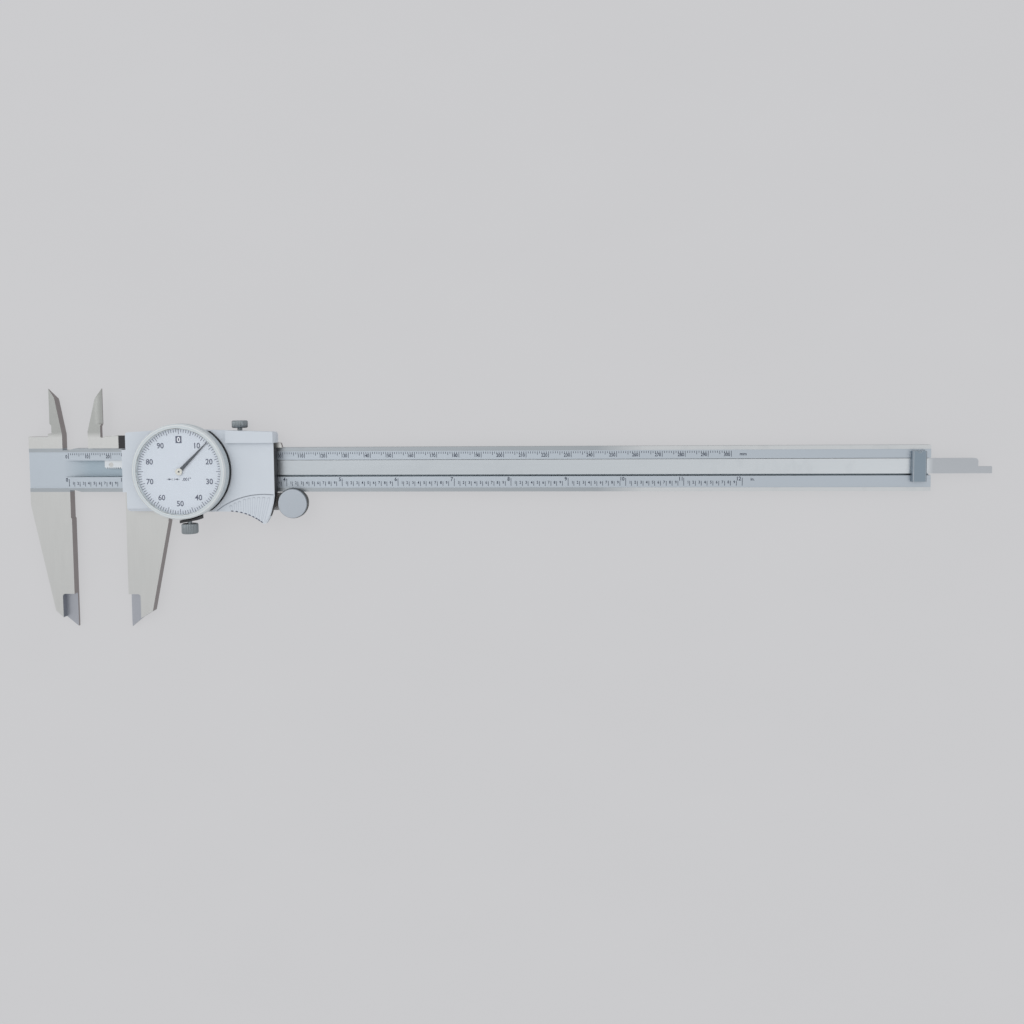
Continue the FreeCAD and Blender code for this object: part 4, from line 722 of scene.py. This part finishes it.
class CALIPER_OT_beam(Operator):
    """Finish the beam with its fixed jaws, the rack and the end stop"""

    bl_idname = "caliper.beam"
    bl_label = "Beam"

    beam_half = 10.0 * MM
    # Painted reflection: where the lands turn lighter.
    light_lands = (45 * MM, 66 * MM)
    run_out = (-2 * MM, 9 * MM)
    land, edge, band, groove, jaw, jaw_edge, tip, wall = range(8)

    def execute(self, context):
        s = context.scene.caliper_steel
        # Painted shade in the groove: band colour at the shallow run-out, the darker groove colour past it.
        deep = (s.groove, "X", *[ZERO_X + place for place in self.run_out])
        # Painted reflection: the lands lighter along the beam.
        light = (s.land_light, "X", *self.light_lands)
        lines = (LONG_GRAIN, s.grain, s.grain)
        finishes = (
            made("ground_steel_beam", ground_metal, s.land, s.roughness, lines, light), broken_edge(),
            made("satin_band", satin_metal, s.band),
            # Painted shade in the groove's walls and floor.
            made("satin_groove_shade", satin_metal, s.band, 0.5, deep), *jaw_finishes(),
            # Painted shade for the groove's lower wall.
            made("groove_wall_shade", satin_metal, s.wall),
        )
        softened("beam_ground", "beam", s.softness, "beam", "ground_steel", finishes, self.region,
                 shifts=(KNIFE_SHIFT,), cuts=(-self.beam_half, self.beam_half))
        stop = made("stop_block", satin_metal, s.stop, 0.45)
        # Painted highlight: the end stop's chamfers take the lighter rod steel.
        edge = made("stop_edge_highlight", satin_metal, s.rod, 0.4)
        softened("end_stop_block", "end_stop", 3 * s.softness, "beam", "ground_steel", (stop, edge))
        rack = made("rack_steel", ground_metal, s.rod_light, 0.4, (90.0, s.grain, s.grain))
        dress(rack, "rack")
        dress(screw_steel(), "rack_screws", "end_stop_screws")
        return {"FINISHED"}

    def region(self, face):
        """Ground lands, satin band, groove or jaw, by where the face lies."""
        middle = face.calc_center_median()
        across = middle.y - MIDDLE_Y
        if abs(across) > self.beam_half + LEVEL:
            # Jaw faces, their sides in painted shade, or the knife tips.
            return (self.jaw, self.jaw_edge, self.tip)[jaw_side(face, BAND_Z)]
        if abs(middle.z - BAND_Z) < LEVEL:
            return self.band
        if abs(across) > self.beam_half / 2 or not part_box("beam")[0].z + LEVEL < middle.z < BAND_Z - LEVEL:
            return self.land
        # The lower wall, which faces the beam's middle, takes the dark painted shade; the other groove faces
        # take the groove's painted shade.
        return self.wall if face.normal.y > SLOPE else self.groove


class CALIPER_OT_scales(Operator):
    """Etch the millimetre and inch scales"""

    bl_idname = "caliper.scales"
    bl_label = "Scales"

    millimetres = 300
    tenths = 120
    gap = 0.55 * MM
    upper_wide, lower_wide = 0.85, 0.9
    upper_rise, lower_drop, small_drop = 0.62, 0.2, 0.42
    upper_unit, lower_unit = 6.6 * MM, 5.28 * MM
    unit_share = 0.62

    def execute(self, context):
        s = context.scene.caliper_scale
        ink = made("scale_ink", printed, s.ink)
        scene_object("millimetre_scale", self.upper(s), "beam", "ground_steel", ink)
        scene_object("inch_scale", self.lower(s), "beam", "ground_steel", ink)
        return {"FINISHED"}

    def upper(self, s):
        """Millimetre lines with a numeral to every tenth."""
        shape = bmesh.new()
        top = MIDDLE_Y + s.upper
        for step in range(self.millimetres + 1):
            tall = s.upper_tenth if step % 10 == 0 else s.upper_fifth if step % 5 == 0 else s.upper_short
            x = ZERO_X + step * MM
            slab(shape, (x, top - tall / 2, BAND_Z), (s.line_thick, tall, INK_DEEP))
            if step % 10 == 0:
                spot = (x - self.gap, top - s.upper_tenth + s.upper_numeral * self.upper_rise, BAND_Z)
                word(shape, str(step), spot, s.upper_numeral, right=True, wide=self.upper_wide)
        word(shape, "mm", (x + self.upper_unit, *spot[1:]), s.upper_numeral * self.unit_share, right=True)
        return shape

    def lower(self, s):
        """Lines to a tenth of an inch, each with its numeral."""
        shape = bmesh.new()
        low = MIDDLE_Y - s.lower
        for step in range(self.tenths + 1):
            tall = s.lower_long if step % 10 == 0 else s.lower_short
            x = ZERO_X + step * INCH / 10
            slab(shape, (x, low + tall / 2, BAND_Z), (s.line_thick, tall, INK_DEEP))
            if step % 10 == 0:
                spot = (x - self.gap, low + s.lower_long - s.lower_numeral * self.lower_drop, BAND_Z)
                word(shape, str(step // 10), spot, s.lower_numeral, right=True, wide=self.lower_wide)
            else:
                spot = (x - self.gap, low + s.lower_short - s.lower_small * self.small_drop, BAND_Z)
                word(shape, str(step % 10), spot, s.lower_small, right=True, wide=self.lower_wide)
        unit = (x + self.lower_unit, low + s.lower_long - s.lower_small / 2, BAND_Z)
        word(shape, "in.", unit, s.lower_small, right=True)
        return shape


class CALIPER_OT_slider(Operator):
    """Finish the slider with its jaws, its back and the depth rod"""

    bl_idname = "caliper.slider"
    bl_label = "Slider"

    arm_shift = (14.4 * MM, 15.2 * MM, 0.5 * MM)
    # Painted reflection and shade: where the rod's tone changes along the beam.
    light_from = 100 * MM
    end_blend = (-2 * MM, MM)

    def execute(self, context):
        s = context.scene.caliper_steel
        edge = broken_edge()
        jaws = jaw_finishes()
        # The jaws' side faces take the painted shade of jaw_finishes.
        finishes = (jaws[0], edge, *jaws)
        softened("slider_ground", "slider_frame", s.softness, "slider", "ground_steel", finishes,
                 lambda face: 2 + jaw_side(face, BAND_Z), shifts=(KNIFE_SHIFT, self.arm_shift))
        low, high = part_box("beam")
        # Painted reflection: the rod lighter towards the beam's end.
        light = (s.rod_light, "X", low.x + self.light_from, high.x)
        # Painted shade: the rod darker past the beam's end; this step in tone rides with the rod.
        end = (s.rod_end, "X", *[high.x + place for place in self.end_blend])
        rod = made("rod_steel", ground_metal, s.rod, 0.38, (45.0, s.grain, s.grain), light, end)
        softened("depth_rod_strip", "depth_rod", s.softness, "slider", "ground_steel", (rod, edge))
        back = made("back_steel", ground_metal, s.ground, 0.42, (45.0, s.grain * 0.7, s.grain))
        softened("back_plate_strip", "back_plate", s.softness, "slider", "back_steel", (back, edge))
        dress(rod, "gib", "lock_shoe")
        dress(screw_steel(), "gib_screws", "back_plate_screws", "rod_rivets", "roller_axle")
        dress(black_moulding(), "left_wiper", "right_wiper")
        return {"FINISHED"}


class CALIPER_OT_cover(Operator):
    """Paint the slider's cover"""

    bl_idname = "caliper.cover"
    bl_label = "Cover"

    rest_centre = Vector((36.1, -46.0, 0)) * MM
    rest_radius = 35.5 * MM
    rest_turns = (-36, 8, 4)
    rest_deep = 0.5 * MM
    rest_side = ((40.6, -10.9), (40.0, -14.9), (38.6, -20.0), (36.5, -23.4), (35.5, -23.4))
    inset = 0.35 * MM
    plate_tall = 0.14 * MM
    line_wide = 0.3 * MM
    line_turns = (-38, 8)
    hollow_centre = Vector((19.8, -43.5, 0)) * MM
    hollow_radius = 25 * MM
    hollow_turns = (36, -1, -4)
    rib_wide = 1.05 * MM
    # Painted shade: the ribs are drawn only as grey outlines, for the shading at their edges.
    rib_line = 0.2 * MM
    rib_tone = srgb(176, 183, 193)
    rib_tops = ((20.9, -16.2), (22.9, -15.1), (24.9, -14.3), (27.2, -13.4), (29.3, -12.9), (31.5, -12.6),
                (33.7, -12.5), (36.0, -12.5), (38.3, -12.7))
    rib_feet = ((21.2, -17.7), (23.1, -17.8), (25.0, -18.1), (27.2, -18.7), (29.3, -19.4), (31.1, -20.1),
                (32.6, -20.9), (34.2, -21.9), (35.6, -22.9))
    dents = (3.8, 8.5, 13.4, 18.0, 22.2, 26.4, 30.2, 33.2, 36.4)
    # Painted shade marks at the finger edge: their place and size.
    notch_in = 0.3 * MM
    notch_long = 1.0 * MM
    notch_wide = 0.5 * MM
    end_x = 41.1 * MM
    end_from = 36 * MM
    end_low = -20.5 * MM
    end_high = 11 * MM
    lip_thick = 0.4 * MM
    lip_low = 0.2 * MM

    def execute(self, context):
        s = context.scene.caliper_cover
        paint = made("cover_enamel", enamel, s.paint, s.peel)
        # Painted highlight on the cover's rounded edges.
        worn = made("cover_edge_highlight", enamel, s.worn, s.peel, 0.35)
        finishes = (paint, worn, black_moulding())
        softened("cover_casting", "slider_cover", s.softness, "slider", "cover_paint", finishes, self.end)
        self.rest(made("rest_shade", printed, s.shade), made("rest_notch_shade", printed, s.notch), paint)
        lip = bmesh.new()
        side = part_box("right_wiper")
        spot = Vector((DIAL.x + self.end_x + self.lip_thick / 2, MIDDLE_Y, (self.top() + side[1].z) / 2))
        slab(lip, spot, (self.lip_thick, side[1].y - side[0].y, self.top() - side[1].z - self.lip_low))
        scene_object("right_wiper_lip", lip, "slider", "black_plastic", black_moulding())
        return {"FINISHED"}

    @staticmethod
    def top():
        """Height of the cover's front, on which the dial's housing stands."""
        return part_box("dial_housing")[0].z

    def end(self, face):
        """Paint, or black on the faces at the cover's right end."""
        middle = face.calc_center_median()
        across = middle.y - MIDDLE_Y
        right = face.normal.x > SLOPE and middle.x > DIAL.x + self.end_from
        return 2 if right and self.end_low < across < self.end_high else 0

    def rest(self, line, notch, paint):
        """Thumb rest: its plate, a line of painted shadow along the seam over it, nine ribs drawn as outlines
        of painted shade, and a dark mark of painted shade at the foot of each.
        """
        middle = Vector((DIAL.x, DIAL.y, self.top() - self.rest_deep))
        plate = bmesh.new()
        outline = self.arc(middle + self.rest_centre, self.rest_radius - self.inset, self.rest_turns)
        outline += [middle + Vector((*corner, 0)) * MM for corner in self.rest_side]
        outline += self.arc(middle + self.hollow_centre, self.hollow_radius + self.inset, self.hollow_turns)
        prism(plate, outline, self.plate_tall)
        scene_object("rest_plate", plate, "slider", "cover_paint", paint)
        middle.z += self.plate_tall
        # Painted shadow along the step at the rest's top edge.
        seam = bmesh.new()
        radius = self.rest_radius - self.line_wide
        stroke(seam, self.arc(middle + self.rest_centre, radius, self.line_turns), self.line_wide)
        scene_object("rest_seam_shadow", seam, "slider", "cover_paint", line)
        ribs = bmesh.new()
        notches = bmesh.new()
        for top, foot, dent in zip(self.rib_tops, self.rib_feet, self.dents):
            start = middle + Vector((*top, 0)) * MM
            end = middle + Vector((*foot, 0)) * MM
            way = (end - start).normalized()
            aside = Vector((-way.y, way.x, 0)) * self.rib_wide / 2
            bend = [start - aside * math.cos(turn) - way * self.rib_wide / 2 * math.sin(turn)
                    for turn in [math.pi * step / 6 for step in range(7)]]
            # Painted shade: the outline of each rib.
            stroke(ribs, [end - aside, *bend, end + aside], self.rib_line)
            # Painted shade: a dark mark at the foot of each rib.
            spot = self.around(middle + self.hollow_centre, self.hollow_radius + self.notch_in, dent)
            slab(notches, spot, (self.notch_long, self.notch_wide, 2 * INK_DEEP), -math.radians(dent))
        scene_object("rest_rib_shades", ribs, "slider", "cover_paint", made("rib_line", printed, self.rib_tone))
        scene_object("rest_notch_shades", notches, "slider", "cover_paint", notch)

    @staticmethod
    def around(centre, radius, degrees):
        """A point on a circle, with its turn clockwise from the top."""
        turn = math.radians(degrees)
        return centre + Vector((radius * math.sin(turn), radius * math.cos(turn), 0))

    def arc(self, centre, radius, turns):
        """Points along a circle."""
        return [self.around(centre, radius, turn) for turn in range(*turns)]


class CALIPER_OT_movement(Operator):
    """Finish the gear train under the dial"""

    bl_idname = "caliper.movement"
    bl_label = "Movement"

    brass_tone = srgb(205, 172, 105)
    spring_tone = srgb(70, 90, 130)

    def execute(self, context):
        gold = made("movement_brass", brass, self.brass_tone)
        steel = screw_steel()
        dress(gold, "movement_plate", "movement_bridge", "movement_pillars", "arbor_bushes", "drive_gear")
        dress(gold, "takeup_gear", "spring_stud")
        dress(steel, "movement_screws", "centre_pinion", "rack_pinion", "takeup_arbor", "hand_hub")
        dress(made("spring_blue", blued, self.spring_tone), "hairspring")
        return {"FINISHED"}


class CALIPER_OT_bezel(Operator):
    """Make the bezel, its ring, the crystal and the black housing"""

    bl_idname = "caliper.bezel"
    bl_label = "Bezel"

    round_off = 0.25 * MM
    bracket_off = 0.15 * MM
    # Painted highlight: a lighter grey for the bracket's rounded edges.
    bracket_tone = srgb(52, 54, 60)

    def execute(self, context):
        s = context.scene.caliper_dial
        bezel = made("bezel_moulding", moulded, s.bezel, 0.38)
        dress(bezel, "dial_ring")
        # Painted highlight on the bezel's rounded edges.
        rim = made("bezel_rim_highlight", moulded, s.rim, 0.3)
        softened("bezel_moulded", "bezel", self.round_off, "bezel", "bezel_plastic", (bezel, rim), segments=3)
        dress(black_moulding(), "dial_housing")
        # Painted highlight on the bracket's rounded edges.
        bracket = (black_moulding(), made("bracket_edge_highlight", moulded, self.bracket_tone, 0.35))
        softened("clamp_bracket_strip", "clamp_bracket", self.bracket_off, "slider", "black_plastic", bracket)
        dress(made("crystal_acrylic", clear), "crystal")
        return {"FINISHED"}


class CALIPER_OT_dial(Operator):
    """Print the dial"""

    bl_idname = "caliper.dial"
    bl_label = "Dial"

    divisions = 100
    box_wide = 2.75 * MM
    box_tall = 3.15 * MM
    numeral_wide = 0.95
    zero_share = 0.92
    zero_tone = srgb(226, 230, 236)
    mark_low = 3.4 * MM
    worth_tall, worth_side = 1.5 * MM, 3.2 * MM
    arrows_side = 2.9 * MM
    bar_wide, bar_tall, bar_side = 0.14 * MM, 1.0 * MM, 0.5 * MM
    arrow_long, arrow_wide, tip_side = 2.2 * MM, 0.16 * MM, 0.75 * MM
    head_long, head_half = 1.4 * MM, 0.4375 * MM

    def execute(self, context):
        s = context.scene.caliper_dial
        dress(made("dial_lacquer_edge_shade", lacquered, s.face), "dial_face")
        ink = made("dial_ink", printed, s.ink)
        plain = made("dial_white", printed, self.zero_tone)
        scene_object("dial_lines", self.lines(s), "bezel", "dial_print", ink)
        scene_object("dial_numerals", self.numerals(s), "bezel", "dial_print", ink)
        scene_object("dial_zero", self.zero(s), "bezel", "dial_print", plain)
        scene_object("dial_mark", self.mark(), "bezel", "dial_print", ink)
        return {"FINISHED"}

    def spot(self, radius, turn, lift=0.0):
        """A point on the dial, with its turn clockwise from the top."""
        return DIAL + Vector((radius * math.sin(turn), radius * math.cos(turn), lift))

    def lines(self, s):
        """Lines all round, with every fifth one longer."""
        shape = bmesh.new()
        for step in range(self.divisions):
            turn = 2 * math.pi * step / self.divisions
            tall = s.line_long if step % 5 == 0 else s.line_short
            radius = DIAL_RADIUS - s.line_edge - tall / 2
            slab(shape, self.spot(radius, turn), (s.line_thick, tall, INK_DEEP), -turn)
        return shape

    def numerals(self, s):
        """Numerals from 10 to 90, and the box behind the zero."""
        shape = bmesh.new()
        for step in range(10, self.divisions, 10):
            turn = 2 * math.pi * step / self.divisions
            word(shape, str(step), self.spot(s.circle, turn), s.numeral, wide=self.numeral_wide)
        slab(shape, self.spot(s.circle, 0), (self.box_wide, self.box_tall, INK_DEEP))
        return shape

    def zero(self, s):
        """The light zero on its box."""
        shape = bmesh.new()
        spot = self.spot(s.circle, 0, INK_DEEP / 2)
        word(shape, "0", spot, s.numeral * self.zero_share, wide=self.numeral_wide)
        return shape

    def mark(self):
        """Two arrows that meet at a pair of lines, and the worth of one division."""
        shape = bmesh.new()
        middle = DIAL - Vector((0, self.mark_low, 0))
        centre = middle - Vector((self.arrows_side, 0, 0))
        for side in (Vector((-1, 0, 0)), Vector((1, 0, 0))):
            slab(shape, centre + side * self.bar_side, (self.bar_wide, self.bar_tall, INK_DEEP))
            tip = centre + side * self.tip_side
            slab(shape, tip + side * self.arrow_long / 2, (self.arrow_long, self.arrow_wide, INK_DEEP))
            self.wedge(shape, tip, tip + side * self.head_long, self.head_half)
        word(shape, '.001"', middle + Vector((self.worth_side, 0, 0)), self.worth_tall)
        return shape

    @staticmethod
    def wedge(shape, tip, base, half):
        """A flat arrow head from its tip to its base."""
        outline = (tip, base + Vector((0, half, 0)), base - Vector((0, half, 0)))
        prism(shape, [corner - Vector((0, 0, INK_DEEP / 2)) for corner in outline], INK_DEEP)


class CALIPER_OT_hand(Operator):
    """Make the hand and the cap on it"""

    bl_idname = "caliper.hand"
    bl_label = "Hand"

    dot = 0.45 * MM
    dot_rim = 0.54 * MM
    pin = 0.3825 * MM
    pin_around = 32
    pin_tone = srgb(52, 56, 62)
    rim_share, well_share = 0.45, 0.6

    def execute(self, context):
        s = context.scene.caliper_dial
        dress(made("hand_blued", blued, s.hand), "hand")
        low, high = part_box("hand_cap")
        radius = (high.x - low.x) / 2
        tall = high.z - low.z
        axis = Vector(((low.x + high.x) / 2, (low.y + high.y) / 2, low.z))
        rim, well = tall * self.rim_share, tall * self.well_share
        profile = [(0, 0), (radius - rim / 3, 0), (radius, rim / 3), (radius, tall - rim),
                   (radius - rim / 3, tall - rim / 4), (radius - rim, tall), (self.dot_rim, tall),
                   (self.dot, tall * 0.9), (self.dot, well), (0, well)]
        cap = made("cap_moulding", moulded, s.cap, 0.35)
        turned = lathe(profile, axis)
        scene_object("hand_cap_turned", turned, "hand", "cap_cream", cap, replaces=("hand_cap",))
        pin = [(0, well), (self.pin, well), (self.pin, tall * 0.8), (0, tall * 0.85)]
        steel = made("pin_dark", blued, self.pin_tone)
        scene_object("hand_pin", lathe(pin, axis, around=self.pin_around), "hand", "hand_blue", steel)
        return {"FINISHED"}


class CALIPER_OT_screws(Operator):
    """Turn and knurl the lock screw and the clamp screw"""

    bl_idname = "caliper.screws"
    bl_label = "Knurled screws"

    grooves = 32
    steps = 6
    deep = 0.2 * MM
    rim = 0.4 * MM
    lock_tall = 3.3 * MM
    lock_shank = 1.1 * MM
    clamp_tall = 4.4 * MM
    clamp_shank = 1.0 * MM

    def execute(self, context):
        s = context.scene.caliper_steel
        steel = made("knurled_steel", knurled_metal, s.knurled, (900.0, 120.0, 900.0))
        self.screw("lock_screw", 1, self.lock_tall, self.lock_shank, "lock", steel)
        self.screw("clamp_screw", -1, self.clamp_tall, self.clamp_shank, "clamp", steel)
        return {"FINISHED"}

    def screw(self, node, way, tall, shank, body, steel):
        """A screw along Y with its head at the far end, that way."""
        low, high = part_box(node)
        radius = (high.x - low.x) / 2
        long = high.y - low.y
        start = Vector(((low.x + high.x) / 2, low.y if way > 0 else high.y, (low.z + high.z) / 2))
        foot = long - tall
        rim = self.rim
        profile = [(0, 0), (shank - rim / 2, 0), (shank, rim / 2), (shank, foot), (radius - rim, foot),
                   (radius, foot + rim), (radius, long - rim), (radius - rim, long), (0, long)]
        around = self.grooves * self.steps
        shape = lathe(profile, start, Vector((0, way, 0)), around, self.deep, self.grooves)
        scene_object(node + "_turned", shape, body, "knurled_steel", steel, replaces=(node,))


class CALIPER_OT_roller(Operator):
    """Turn and knurl the thumb roller"""

    bl_idname = "caliper.roller"
    bl_label = "Thumb roller"

    grooves = 64
    steps = 4
    deep = 0.22 * MM
    bevel = 0.4 * MM
    drum = 4.9 * MM
    head_tall = 3.7 * MM
    bore = 1.55 * MM
    bore_deep = 5.5 * MM

    def execute(self, context):
        s = context.scene.caliper_steel
        low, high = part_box("thumb_roller")
        axis = Vector(((low.x + high.x) / 2, (low.y + high.y) / 2, low.z))
        radius = (high.x - low.x) / 2
        top = high.z - low.z
        foot = top - self.head_tall
        bevel = self.bevel
        profile = [(0, self.bore_deep), (self.bore, self.bore_deep), (self.bore, 0), (self.drum, 0),
                   (self.drum, foot), (radius - bevel, foot), (radius, foot + bevel), (radius, top - bevel),
                   (radius - bevel, top), (0, top)]
        flat = made("roller_turned", turned_metal, s.roller, (axis.x, axis.y, 0.0))
        # Painted shade on the knurled side; the turned face keeps its light finish.
        side = made("roller_knurled_shade", knurled_metal, s.grime, (900.0, 900.0, 120.0))
        around = self.grooves * self.steps
        shape = lathe(profile, axis, around=around, knurl=self.deep, grooves=self.grooves)
        for face in shape.faces:
            face.normal_update()
            face.material_index = int(abs(face.normal.z) < SLOPE)
        scene_object("thumb_roller_turned", shape, "roller", "knurled_steel", flat, side,
                     replaces=("thumb_roller",))
        return {"FINISHED"}


class CALIPER_PT_pieces(Panel):
    """Lists the caliper's pieces"""
    # Shows the caliper's settings and a button for each step

    bl_idname = "CALIPER_PT_pieces"
    bl_label = "Caliper"
    bl_space_type = "VIEW_3D"
    bl_region_type = "UI"
    bl_category = "Caliper"

    def draw(self, context):
        for group in GROUPS:
            settings = getattr(context.scene, group)
            box = self.layout.box()
            for name in settings.__annotations__:
                box.prop(settings, name)
        for operator in OPERATORS:
            self.layout.operator(operator.bl_idname)


GROUPS = {
    "caliper_steel": CaliperSteel,
    "caliper_cover": CaliperCover,
    "caliper_dial": CaliperDial,
    "caliper_scale": CaliperScale,
    "caliper_stage": CaliperStage,
}
OPERATORS = (
    CALIPER_OT_stage,
    CALIPER_OT_beam,
    CALIPER_OT_scales,
    CALIPER_OT_slider,
    CALIPER_OT_cover,
    CALIPER_OT_movement,
    CALIPER_OT_bezel,
    CALIPER_OT_dial,
    CALIPER_OT_hand,
    CALIPER_OT_screws,
    CALIPER_OT_roller,
)


def register():
    for name, group in GROUPS.items():
        bpy.utils.register_class(group)
        setattr(bpy.types.Scene, name, PointerProperty(type=group))
    for operator in OPERATORS:
        bpy.utils.register_class(operator)
    bpy.utils.register_class(CALIPER_PT_pieces)


def unregister():
    bpy.utils.unregister_class(CALIPER_PT_pieces)
    for operator in reversed(OPERATORS):
        bpy.utils.unregister_class(operator)
    for name, group in reversed(list(GROUPS.items())):
        delattr(bpy.types.Scene, name)
        bpy.utils.unregister_class(group)


def main():
    register()
    for operator in OPERATORS:
        space, call = operator.bl_idname.split(".")
        getattr(getattr(bpy.ops, space), call)()


if __name__ == "__main__":
    main()
